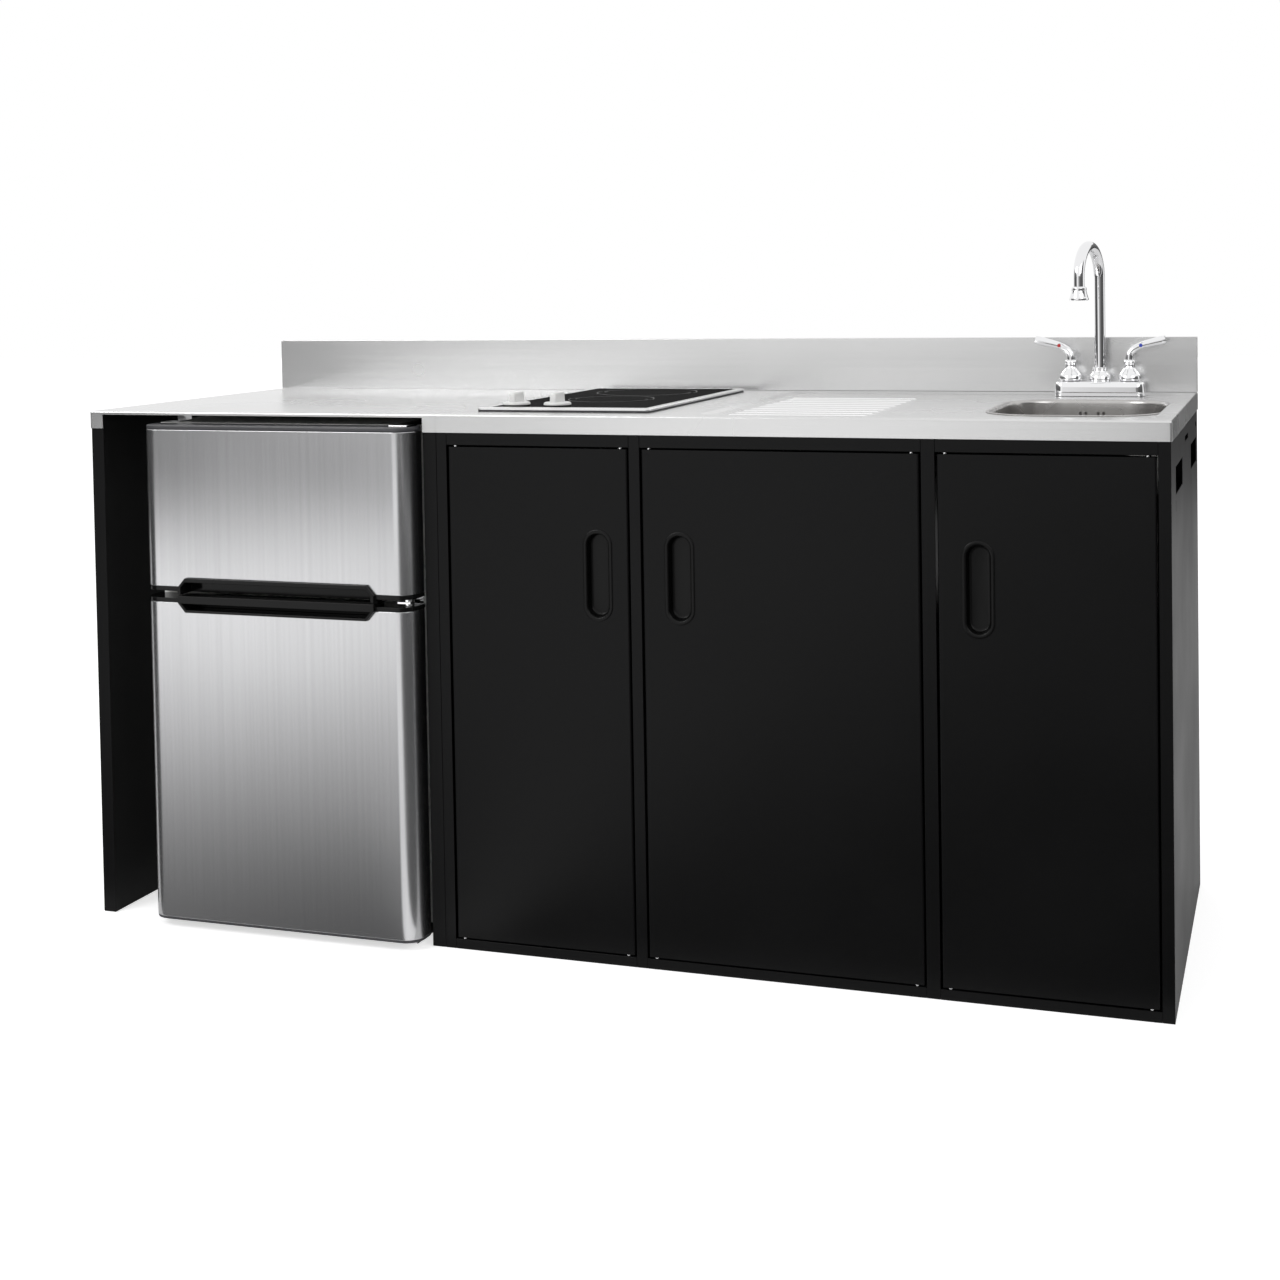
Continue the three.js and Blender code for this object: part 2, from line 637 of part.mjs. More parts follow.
function makeDoor(door) {
  const { name, bay, hinge, cupInset } = door;
  const axis = pivotX(door);
  const frame = group(unit, axis, HINGE_Y, 0);
  const left = bay[0] + DOOR_GAP - axis;
  const right = bay[1] - DOOR_GAP - axis;
  const front = -DOOR_THICKNESS / 2;
  const back = DOOR_THICKNESS / 2;
  const height = [BOTTOM_RAIL + DOOR_GAP, DOOR_HEAD - DOOR_GAP];
  const r = DOOR_EDGE_RADIUS;

  const section = new THREE.Shape();
  section.moveTo(right, back);
  section.lineTo(left, back);
  section.absarc(left + r, front + r, r, Math.PI, 1.5 * Math.PI, false);
  section.absarc(right - r, front + r, r, 1.5 * Math.PI, 2 * Math.PI, false);
  const skin = prismZ(section, height, 2);
  const pocket = block(
    [left + SHEET, right - SHEET],
    [front + SHEET, back + SHEET],
    [height[0] + SHEET, height[1] - SHEET],
  );

  const cupX = hinge === "left" ? right - cupInset : left + cupInset;
  const bodyWidth = CUP_WIDTH - 2 * CUP_RIM;
  const bodyHeight = CUP_HEIGHT - 2 * CUP_RIM;
  const clear = 2 * SEAT;
  const cupHole = prismY(
    obround(bodyWidth + clear, bodyHeight + clear, cupX, CUP_CENTRE_Z),
    [front - 1, front + SHEET + 1],
  );
  const upperPin = rod(PIN_RADIUS, [height[1] - 2 * PIN_REACH, height[1] + PIN_REACH]);
  const lowerPin = union(
    rod(PIN_RADIUS, [height[0] - PIN_REACH, height[0] + 2 * PIN_REACH]),
    rod(PIN_COLLAR_RADIUS, [BOTTOM_RAIL + SEAT, height[0] + SHEET / 2]),
  );
  piece(frame, name, union(cut(skin, pocket, cupHole), upperPin, lowerPin), BLACK_STEEL);

  const rimBack = front - SEAT;
  const rimFront = rimBack - CUP_RIM_THICKNESS;
  const wall = 2 * SHEET;
  const shell = union(
    prismY(obround(CUP_WIDTH, CUP_HEIGHT, cupX, CUP_CENTRE_Z), [rimFront, rimBack]),
    prismY(obround(bodyWidth, bodyHeight, cupX, CUP_CENTRE_Z), [rimFront, front + CUP_DEPTH]),
  );
  const hollow = prismY(
    obround(bodyWidth - wall, bodyHeight - wall, cupX, CUP_CENTRE_Z),
    [rimFront - 1, front + CUP_DEPTH - SHEET],
  );
  piece(frame, name + "_cup", cut(shell, hollow), BLACK_PLASTIC);
}

// ---------------------------------------------------------------- hob
function makeHob() {
  const hob = group(unit, HOB_LEFT, HOB_FRONT, WORKTOP_HEIGHT);
  const frameTop = SEAT + HOB_FRAME_HEIGHT;
  const glassX = [HOB_FRAME_SIDE, HOB_WIDTH - HOB_FRAME_SIDE];
  const glassY = [HOB_FRAME_FRONT, HOB_DEPTH - HOB_FRAME_BACK];
  const glassTop = frameTop - SEAT / 2;
  const glassBottom = glassTop - GLASS_THICKNESS;
  const ledgeTop = glassBottom - SEAT;
  const shrink = ([low, high], by) => [low + by, high - by];

  const outline = roundedRectangle(
    HOB_WIDTH,
    HOB_DEPTH,
    HOB_CORNER,
    HOB_WIDTH / 2,
    HOB_DEPTH / 2,
  );
  const frame = cut(
    prismZ(outline, [SEAT, frameTop]),
    block(glassX, glassY, [ledgeTop, frameTop + 1]),
    block(shrink(glassX, GLASS_LEDGE), shrink(glassY, GLASS_LEDGE), [-1, frameTop]),
  );
  piece(hob, "hob_frame", frame, STEEL);

  const knobs = [LEFT_KNOB_X, RIGHT_KNOB_X].map((x) => [x, KNOB_ROW_Y]);
  const shaftHoles = knobs.map((at) => rod(SHAFT_RADIUS + 1, [0, frameTop + 1], at));
  const glass = block(shrink(glassX, SEAT), shrink(glassY, SEAT), [glassBottom, glassTop]);
  piece(hob, "hob_glass", cut(glass, ...shaftHoles), BLACK_GLASS);

  const underTray = tray(
    shrink([0, HOB_WIDTH], HOB_TRAY_INSET),
    shrink([0, HOB_DEPTH], HOB_TRAY_INSET),
    [-HOB_TRAY_DEPTH, 0],
    SHEET,
    "+z",
  );
  piece(hob, "hob_tray", underTray, STEEL);

  const zones = [
    ["front_element", FRONT_ZONE_RADIUS, FRONT_ZONE_Y],
    ["rear_element", REAR_ZONE_RADIUS, REAR_ZONE_Y],
  ];
  const under = glassBottom - SEAT;
  for (const [name, radius, y] of zones) {
    const dish = [
      [0, under - ELEMENT_HEIGHT],
      [radius, under - ELEMENT_HEIGHT],
      [radius, under],
      [radius - 8, under],
      [radius - 8, under - 8],
      [0, under - 8],
    ];
    piece(hob, name, turned(dish, ROUND, [HOB_WIDTH / 2, y]), CERAMIC_FIBRE);
  }

  const bodyHalf = 22;
  const bodyHeight = 30;
  const bushHeight = 6;
  ["left", "right"].forEach((side, i) => {
    const [x, y] = knobs[i];
    const body = block(
      [x - bodyHalf, x + bodyHalf],
      [y - bodyHalf, y + bodyHalf],
      [under - bushHeight - bodyHeight, under - bushHeight],
    );
    const bush = rod(2 * SHAFT_RADIUS, [under - bushHeight - 1, under], [x, y]);
    const shaft = rod(SHAFT_RADIUS, [under - 1, glassTop + KNOB_HEIGHT - 4], [x, y]);
    piece(hob, side + "_regulator", union(body, bush, shaft), BLACK_PLASTIC);
    makeKnob(group(hob, x, y, glassTop + 2 * SEAT), side + "_knob");
  });
}

// A flanged knob with a grip bar; its own frame has z = 0 at its underside.
function makeKnob(frame, name) {
  const flange = turned(
    [
      [0, 0],
      [KNOB_FLANGE_RADIUS, 0],
      [KNOB_FLANGE_RADIUS, KNOB_FLANGE_HEIGHT / 2],
      [KNOB_FLANGE_RADIUS - 3, KNOB_FLANGE_HEIGHT],
      [0, KNOB_FLANGE_HEIGHT],
    ],
    ROUND,
  );
  const reach = KNOB_FLANGE_RADIUS - 3;
  const half = KNOB_GRIP_WIDTH / 2;
  const grip = prismX(
    [
      [-reach, KNOB_FLANGE_HEIGHT - 1],
      [reach, KNOB_FLANGE_HEIGHT - 1],
      [reach - 2, KNOB_HEIGHT - 4],
      [reach - 6, KNOB_HEIGHT],
      [-reach + 6, KNOB_HEIGHT],
      [-reach + 2, KNOB_HEIGHT - 4],
    ],
    [-half, half],
  );
  const bore = rod(SHAFT_RADIUS + 0.4, [-1, KNOB_HEIGHT - 4]);
  piece(frame, name, cut(union(flange, grip), bore), SILVER_PLASTIC);
}

// ---------------------------------------------------------------- sink
// Heights in this frame are above the pressed deck.
function makeSink() {
  const sink = group(unit, SINK_CENTRE_X, SINK_CENTRE_Y, DECK);
  const flangeTop = -WORKTOP_SHEET - SEAT;
  const wallLoop = (grow, z) =>
    loop({
      width: BOWL_WIDTH + 2 * grow,
      height: BOWL_LENGTH + 2 * grow,
      radius: BOWL_CORNER + grow,
      z,
    });
  const drainLoop = (z) =>
    loop({ width: 2 * DRAIN_RADIUS, height: 2 * DRAIN_RADIUS, radius: DRAIN_RADIUS, z });
  const foot = BOWL_FOOT_RADIUS;
  const bottom = -BOWL_DEPTH;
  const bowl = loft(
    [
      wallLoop(BOWL_FLANGE, flangeTop),
      wallLoop(BOWL_FLANGE, flangeTop - BOWL_WALL),
      wallLoop(BOWL_WALL, flangeTop - BOWL_WALL),
      wallLoop(BOWL_WALL - BOWL_TAPER, bottom + foot),
      wallLoop(BOWL_WALL - BOWL_TAPER - 0.3 * foot, bottom + 0.3 * foot),
      wallLoop(BOWL_WALL - BOWL_TAPER - foot, bottom - BOWL_WALL),
      drainLoop(bottom - 2 * BOWL_WALL),
      drainLoop(bottom - BOWL_WALL),
      wallLoop(-BOWL_TAPER - foot, bottom),
      wallLoop(-BOWL_TAPER - 0.3 * foot, bottom + 0.3 * foot + BOWL_WALL),
      wallLoop(-BOWL_TAPER, bottom + foot + BOWL_WALL),
      wallLoop(0, flangeTop),
    ],
    true,
  );
  const backWall = BOWL_LENGTH / 2;
  const slots = OVERFLOW_SLOTS_X.map((x) =>
    block(
      [x - OVERFLOW_SLOT_WIDTH / 2, x + OVERFLOW_SLOT_WIDTH / 2],
      [backWall - 2 * BOWL_TAPER, backWall + 2 * BOWL_TAPER],
      [-OVERFLOW_TOP - OVERFLOW_SLOT_HEIGHT, -OVERFLOW_TOP],
    ),
  );
  piece(sink, "sink_bowl", cut(bowl, ...slots), STEEL);
  makeOverflowBox(sink, backWall);
  makeDrain(sink, bottom - BOWL_WALL);
}

// A box on the outside of the bowl's back wall, leaning with the wall's taper.
function makeOverflowBox(sink, backWall) {
  const lean = BOWL_TAPER / (BOWL_DEPTH - BOWL_FOOT_RADIUS);
  const margin = 6;
  const top = -OVERFLOW_TOP + margin;
  const bottom = top - OVERFLOW_SLOT_HEIGHT - 4 * margin;
  const wallY = (z) => backWall + BOWL_WALL + 2 * SEAT + z * lean;
  const back = backWall + 2 * margin;
  const half = OVERFLOW_SLOTS_X[3] + 2 * margin;
  const shell = prismX(
    [
      [wallY(top), top],
      [back, top],
      [back, bottom],
      [wallY(bottom), bottom],
    ],
    [-half, half],
  );
  const hollow = block(
    [-half + SHEET, half - SHEET],
    [backWall - margin, back - SHEET],
    [bottom + SHEET, top - SHEET],
  );
  const outlet = rod(margin / 2, [bottom - 1, bottom + 2 * SHEET], [0, back - margin / 2 - SHEET - 1]);
  piece(sink, "overflow_box", cut(shell, hollow, outlet), STEEL);
}

// Strainer, lift-out basket, tailpiece and trap under the drain hole.
const STRAINER_OUTLET = 18;
const STRAINER_NECK = 21;

function trapOutletZ() {
  const tailEnd = -BOWL_DEPTH - STRAINER_DEPTH - TAILPIECE_LENGTH;
  return tailEnd - TRAP_DROP + TRAP_BEND_RADIUS + 20;
}

function makeDrain(sink, floor) {
  const rim = floor + 2 * SEAT;
  const cupRadius = DRAIN_RADIUS - 2.5;
  const cupFloor = -BOWL_DEPTH - STRAINER_DEPTH;
  const neckEnd = cupFloor - 15;
  const body = ring(
    [
      [STRAINER_OUTLET, neckEnd],
      [STRAINER_NECK, neckEnd],
      [STRAINER_NECK, cupFloor],
      [cupRadius, cupFloor],
      [cupRadius, rim],
      [DRAIN_RADIUS + 10, rim],
      [DRAIN_RADIUS + 10, rim + SHEET],
      [cupRadius - SHEET, rim + SHEET],
      [cupRadius - SHEET, cupFloor + SHEET],
      [STRAINER_OUTLET, cupFloor + SHEET],
    ],
    ROUND,
  );
  piece(sink, "strainer_body", body, STEEL);

  const basketRadius = cupRadius - 2 * SHEET;
  const seat = cupFloor + SHEET + SEAT;
  const basketTop = rim - 3;
  const basket = union(
    turned(
      [
        [0, seat],
        [basketRadius, seat],
        [basketRadius, basketTop],
        [basketRadius - SHEET, basketTop],
        [basketRadius - SHEET, seat + SHEET],
        [0, seat + SHEET],
      ],
      ROUND,
    ),
    rod(3, [seat + SHEET / 2, basketTop - 6]),
    turned([[0, basketTop - 12], [8, basketTop - 9], [8, basketTop - 5], [0, basketTop - 3]], SMALL_ROUND),
  );
  const holes = Array.from({ length: 10 }, (_, i) => {
    const angle = (i * Math.PI) / 5;
    const away = basketRadius * (i % 2 ? 0.72 : 0.42);
    return rod(3, [seat - 1, seat + 3], [away * Math.cos(angle), away * Math.sin(angle)], 8);
  });
  piece(sink, "strainer_basket", cut(basket, ...holes), STEEL);

  const bore = TAILPIECE_RADIUS - 2;
  const tailEnd = cupFloor - TAILPIECE_LENGTH;
  const tailpiece = ring(
    [
      [bore, tailEnd],
      [TAILPIECE_RADIUS, tailEnd],
      [TAILPIECE_RADIUS, neckEnd - 8],
      [STRAINER_NECK + 6, neckEnd - 8],
      [STRAINER_NECK + 6, cupFloor - 2],
      [STRAINER_NECK + 0.4, cupFloor - 2],
      [STRAINER_NECK + 0.4, neckEnd - SEAT],
      [bore, neckEnd - SEAT],
    ],
    ROUND,
  );
  piece(sink, "drain_tailpiece", tailpiece, CHROME);
  makeTrap(sink, tailEnd - SEAT, bore);
}

function makeTrap(sink, top, bore) {
  const bend = TRAP_BEND_RADIUS;
  const low = top + SEAT - TRAP_DROP;
  const outletZ = trapOutletZ();
  const outletY = CARCASS_BACK - SINK_CENTRE_Y - 5;
  const turnRadius = outletZ - low;
  const quarter = (t) => [Math.cos((t * Math.PI) / 2), Math.sin((t * Math.PI) / 2)];
  const points = [new THREE.Vector3(0, 0, top)];
  const add = (y, z) => points.push(new THREE.Vector3(0, y, z));
  add(0, (top + low) / 2);
  for (let i = 0; i <= 8; i += 1) {
    const angle = (i * Math.PI) / 8;
    add(bend - bend * Math.cos(angle), low - bend * Math.sin(angle));
  }
  for (let i = 1; i <= 4; i += 1) {
    const [c, s] = quarter(i / 4);
    add(2 * bend + turnRadius * (1 - c), low + turnRadius * s);
  }
  add(outletY - 60, outletZ);
  add(outletY, outletZ);
  const path = new THREE.CatmullRomCurve3(points, false, "centripetal");
  const pipe = tube(path, TAILPIECE_RADIUS, bore, 18, 6);
  const nut = TAILPIECE_RADIUS + 7;
  const socket = ring(
    [
      [TAILPIECE_RADIUS + 0.4, top + 12],
      [nut, top + 12],
      [nut, top - 12],
      [TAILPIECE_RADIUS - 1, top - 12],
      [TAILPIECE_RADIUS - 1, top],
      [TAILPIECE_RADIUS + 0.4, top],
    ],
    ROUND,
  );
  piece(sink, "drain_trap", union(pipe, socket), CHROME);
}

// ---------------------------------------------------------------- faucet
// Heights in this frame are above the pressed deck.
function makeFaucet() {
  const faucet = group(unit, SINK_CENTRE_X, FAUCET_Y, DECK);
  const half = HANDLE_SPACING / 2;
  const top = FAUCET_BASE_HEIGHT;
  const footprint = (shrink, z) =>
    loop({
      width: FAUCET_BASE_LENGTH - 2 * shrink,
      height: FAUCET_BASE_WIDTH - 2 * shrink,
      radius: FAUCET_BASE_WIDTH / 2 - shrink - 1,
      z,
    });
  const plinth = loft([footprint(0, SEAT), footprint(0, top - 5), footprint(4, top)], false);
  const collar = turned([
    [0, top - 1],
    [18, top - 1],
    [19, top + 4],
    [17, top + 12],
    [13, top + 19],
    [12.5, top + COLLAR_HEIGHT],
    [0, top + COLLAR_HEIGHT],
  ]);
  const socket = rod(SPOUT_RADIUS + 0.5, [top + SPOUT_SEAT, top + COLLAR_HEIGHT + 1], [0, 0], ROUND);
  const sides = [-half, half];
  const posts = sides.map((x) => rod(POST_RADIUS, [top - 1, top + POST_HEIGHT], [x, 0]));
  const shanks = sides.map((x) => rod(SHANK_RADIUS, [-SHANK_LENGTH, SEAT + 1], [x, 0]));
  piece(faucet, "faucet_base", union(cut(union(plinth, collar), socket), ...posts, ...shanks), CHROME);

  const nutTop = -WORKTOP_SHEET - SEAT;
  const nut = [
    [SHANK_RADIUS + 0.4, nutTop - NUT_HEIGHT],
    [NUT_RADIUS - 4, nutTop - NUT_HEIGHT],
    [NUT_RADIUS, nutTop - 2],
    [NUT_RADIUS, nutTop],
    [SHANK_RADIUS + 0.4, nutTop],
  ];
  piece(faucet, "hot_nut", ring(nut, SMALL_ROUND, [-half, 0]), WHITE_PLASTIC);
  piece(faucet, "cold_nut", ring(nut, SMALL_ROUND, [half, 0]), WHITE_PLASTIC);

  makeSpout(group(faucet, 0, 0, 0, -SPOUT_HEADING), top + SPOUT_SEAT + SEAT);
  makeLever(group(faucet, -half, 0, 0, 0), "hot_lever", top);
  makeLever(group(faucet, half, 0, 0, 180), "cold_lever", top);
}

// The gooseneck runs up the z axis and arches forward, to negative y.
function makeSpout(frame, start) {
  const bend = SPOUT_REACH / 2;
  const shoulder = SPOUT_RISE - bend;
  const path = new THREE.CurvePath();
  const up = [new THREE.Vector3(0, 0, start), new THREE.Vector3(0, 0, shoulder)];
  path.add(new THREE.LineCurve3(...up));
  const arch = Array.from({ length: 13 }, (_, i) => {
    const angle = (i * Math.PI) / 12;
    return new THREE.Vector3(0, -bend + bend * Math.cos(angle), shoulder + bend * Math.sin(angle));
  });
  path.add(new THREE.CatmullRomCurve3(arch));
  const down = [arch[12], new THREE.Vector3(0, -SPOUT_REACH, SPOUT_END)];
  path.add(new THREE.LineCurve3(...down));
  piece(frame, "faucet_spout", tube(path, SPOUT_RADIUS, SPOUT_BORE, 22, 8), CHROME);

  const bottom = SPOUT_END - AERATOR_DROP;
  const skirt = [
    [SPOUT_BORE, bottom],
    [AERATOR_RADIUS, bottom],
    [AERATOR_RADIUS, bottom + 4],
    [12.5, bottom + 17],
    [12.5, bottom + 22],
    [SPOUT_RADIUS + 0.4, bottom + 24],
    [SPOUT_RADIUS + 0.4, SPOUT_END - SEAT],
    [SPOUT_BORE, SPOUT_END - SEAT],
  ];
  piece(frame, "faucet_aerator", ring(skirt, ROUND, [0, -SPOUT_REACH]), CHROME);
}

// A bell that turns on the base's post, with an arm that reaches out to negative x.
function makeLever(frame, name, baseTop) {
  const bell = turned([
    [0, baseTop + 2 * SEAT],
    [19, baseTop + 2 * SEAT],
    [20, baseTop + 6],
    [17, baseTop + 14],
    [10, baseTop + 24],
    [8, baseTop + 32],
    [8.5, baseTop + 40],
    [0, baseTop + 44],
  ]);
  const bore = rod(POST_RADIUS + 0.5, [baseTop - 1, baseTop + POST_HEIGHT + 1]);
  const path = new THREE.CatmullRomCurve3([
    new THREE.Vector3(0, 0, baseTop + 28),
    new THREE.Vector3(0, 0, baseTop + 48),
    new THREE.Vector3(-14, 0, baseTop + 63),
    new THREE.Vector3(-36, 0, baseTop + 69),
    new THREE.Vector3(-LEVER_REACH, 0, LEVER_RISE),
  ]);
  const arm = tube(path, 7.5, 0, 8, 6);
  piece(frame, name, union(cut(bell, bore), arm), CHROME);
}

// ---------------------------------------------------------------- fridge
// Its frame has x = 0 at the fridge's left side; y and z are those of the unit.
const FRIDGE_PIVOT = [FRIDGE_WIDTH - FRIDGE_PIVOT_INSET, FRIDGE_PIVOT_Y];
const FRIDGE_DOOR_BACK = FRIDGE_DOOR_FRONT + FRIDGE_DOOR_THICKNESS;
const FREEZER_DOOR_BOTTOM = DOOR_SPLIT + SPLIT_HALF_GAP;
const CHILLER_DOOR_TOP = DOOR_SPLIT - SPLIT_HALF_GAP;

// The form of a fridge door between two heights, with its two front edges rounded; an inset
// gives the hollow inside its skin.
function doorSlab([z0, z1], inset = 0) {
  const [left, right] = [inset, FRIDGE_WIDTH - inset];
  const [front, back] = [FRIDGE_DOOR_FRONT + inset, FRIDGE_DOOR_BACK - inset];
  const r = FRIDGE_DOOR_RADIUS - inset;
  const plan = new THREE.Shape();
  plan.moveTo(right, back);
  plan.lineTo(left, back);
  plan.absarc(left + r, front + r, r, Math.PI, 1.5 * Math.PI, false);
  plan.absarc(right - r, front + r, r, 1.5 * Math.PI, 2 * Math.PI, false);
  return prismZ(plan, [z0 + inset, z1 - inset], 6);
}

const fridgePinHole = ([z0, z1]) => rod(FRIDGE_PIN_RADIUS + 0.5, [z0, z1], FRIDGE_PIVOT);

// The outline in x and z of a grip between two distances from the split, with sloping ends.
function gripShape(up, [near, far], inset) {
  const capOuter = SPLIT_HALF_GAP + END_CAP;
  const slope = HANDLE_CHAMFER / (HANDLE_HALF_HEIGHT - capOuter);
  const distances = near < capOuter ? [near, capOuter, far] : [near, far];
  const corners = distances.map((distance) => [
    Math.max(0, distance - capOuter) * slope - HANDLE_CHAMFER / 2 + inset,
    DOOR_SPLIT + up * distance,
  ]);
  const left = corners.map(([x, z]) => new THREE.Vector2(HANDLE_LEFT + x, z));
  const right = corners.map(([x, z]) => new THREE.Vector2(HANDLE_RIGHT - x, z));
  return new THREE.Shape([...left, ...right.reverse()]);
}

// The black end cap of a door with its finger pocket; up is 1 on the freezer door, -1 below.
function makeHandle(parent, name, up, { mouth, room }) {
  const sorted = (a, b) => [Math.min(a, b), Math.max(a, b)];
  const at = (distance) => DOOR_SPLIT + up * distance;
  const front = FRIDGE_DOOR_FRONT - HANDLE_PROUD;
  const back = front + HANDLE_BLOCK_DEPTH;
  const cap = doorSlab(sorted(at(SPLIT_HALF_GAP), at(SPLIT_HALF_GAP + END_CAP)));
  const grip = prismY(gripShape(up, [HANDLE_GAP, HANDLE_HALF_HEIGHT], 0), [front, back]);
  const pocket = prismY(gripShape(up, mouth, HANDLE_WALL), [front - 1, back - 4]);
  const hollow = prismY(gripShape(up, room, HANDLE_WALL), [front + HANDLE_LIP, back - 4]);
  const pinHole = fridgePinHole([at(0) - 60, at(0) + 60]);
  piece(parent, name, cut(union(cap, grip), pocket, hollow, pinHole), BLACK_PLASTIC);
}

// The notch that a door has for its handle's grip, and the room that it takes with its skin.
function handleNotch(up, skin = 0) {
  const clear = SEAT + skin;
  const back = FRIDGE_DOOR_FRONT - HANDLE_PROUD + HANDLE_BLOCK_DEPTH + clear;
  const outline = gripShape(up, [0, HANDLE_HALF_HEIGHT + clear], -SEAT - clear);
  return prismY(outline, [FRIDGE_DOOR_FRONT - 1, back]);
}

// A door skin that is hollow inside; the holes for the hinge pins lead into the hollow.
function doorShell(heights, up) {
  const hollow = cut(doorSlab(heights, DOOR_SKIN), handleNotch(up, DOOR_SKIN));
  const [low, high] = heights;
  return cut(
    doorSlab(heights),
    handleNotch(up),
    hollow,
    fridgePinHole([low - 1, low + 2 * DOOR_SKIN]),
    fridgePinHole([high - 2 * DOOR_SKIN, high + 1]),
  );
}

function makeGasket(parent, name, [z0, z1]) {
  const ys = [FRIDGE_DOOR_BACK + SEAT, FRIDGE_CABINET_FRONT - GASKET_COMPRESSION_GAP];
  const xs = [GASKET_INSET, FRIDGE_WIDTH - GASKET_INSET];
  const zs = [z0 + GASKET_INSET, z1 - GASKET_INSET];
  const inside = ([low, high]) => [low + GASKET_WIDTH, high - GASKET_WIDTH];
  const frame = cut(block(xs, ys, zs), block(inside(xs), [ys[0] - 1, ys[1] + 1], inside(zs)));
  piece(parent, name, frame, RUBBER);
}

function makeFridgeDoors(fridge) {
  const capOuter = SPLIT_HALF_GAP + END_CAP + SEAT;
  const freezerDoor = doorShell([DOOR_SPLIT + capOuter, FRIDGE_TOP], 1);
  piece(fridge, "freezer_door", freezerDoor, STEEL);
  makeHandle(fridge, "freezer_handle", 1, FREEZER_POCKET);
  makeGasket(fridge, "freezer_gasket", [FREEZER_DOOR_BOTTOM, FRIDGE_TOP]);

  const chillerDoor = doorShell([FRIDGE_DOOR_BOTTOM, DOOR_SPLIT - capOuter], -1);
  piece(fridge, "fridge_door", chillerDoor, STEEL);
  makeHandle(fridge, "fridge_handle", -1, CHILLER_POCKET);
  makeGasket(fridge, "fridge_gasket", [FRIDGE_DOOR_BOTTOM, CHILLER_DOOR_TOP]);
}

function makeHinges(fridge) {
  const [px, py] = FRIDGE_PIVOT;
  const pin = (zs) => rod(FRIDGE_PIN_RADIUS, zs, FRIDGE_PIVOT);
  const collar = (zs) => rod(2 * FRIDGE_PIN_RADIUS, zs, FRIDGE_PIVOT);
  const plateX = [px - FRIDGE_PIVOT_INSET, px + 2 * FRIDGE_PIN_RADIUS - 1];
  const noseY = py - 11;

  const topZ = [FRIDGE_TOP + SEAT, FRIDGE_TOP + SEAT + HINGE_PLATE];
  const top = union(
    block([plateX[0] - 10, plateX[1]], [noseY, 90], topZ),
    pin([FRIDGE_TOP - FRIDGE_PIN_REACH, topZ[1] - 1]),
  );
  piece(fridge, "top_hinge", top, CHROME);

  const plateZ = [DOOR_SPLIT - HINGE_PLATE / 2, DOOR_SPLIT + HINGE_PLATE / 2];
  const mountY = FRIDGE_CABINET_FRONT - SEAT;
  const reach = SPLIT_HALF_GAP + END_CAP + FRIDGE_PIN_REACH - 4;
  const middle = union(
    block(plateX, [noseY, mountY], plateZ),
    block(plateX, [mountY - HINGE_PLATE, mountY], [DOOR_SPLIT - 10, DOOR_SPLIT + 10]),
    pin([DOOR_SPLIT - reach, DOOR_SPLIT + reach]),
    collar([CHILLER_DOOR_TOP + SEAT, FREEZER_DOOR_BOTTOM - SEAT]),
  );
  piece(fridge, "middle_hinge", middle, CHROME);

  const bottomTop = FRIDGE_DOOR_BOTTOM - SEAT;
  const bottom = union(
    block(plateX, [noseY, 90], [bottomTop - HINGE_PLATE, bottomTop]),
    pin([bottomTop - 1, FRIDGE_DOOR_BOTTOM + FRIDGE_PIN_REACH]),
  );
  piece(fridge, "bottom_hinge", bottom, CHROME);
}

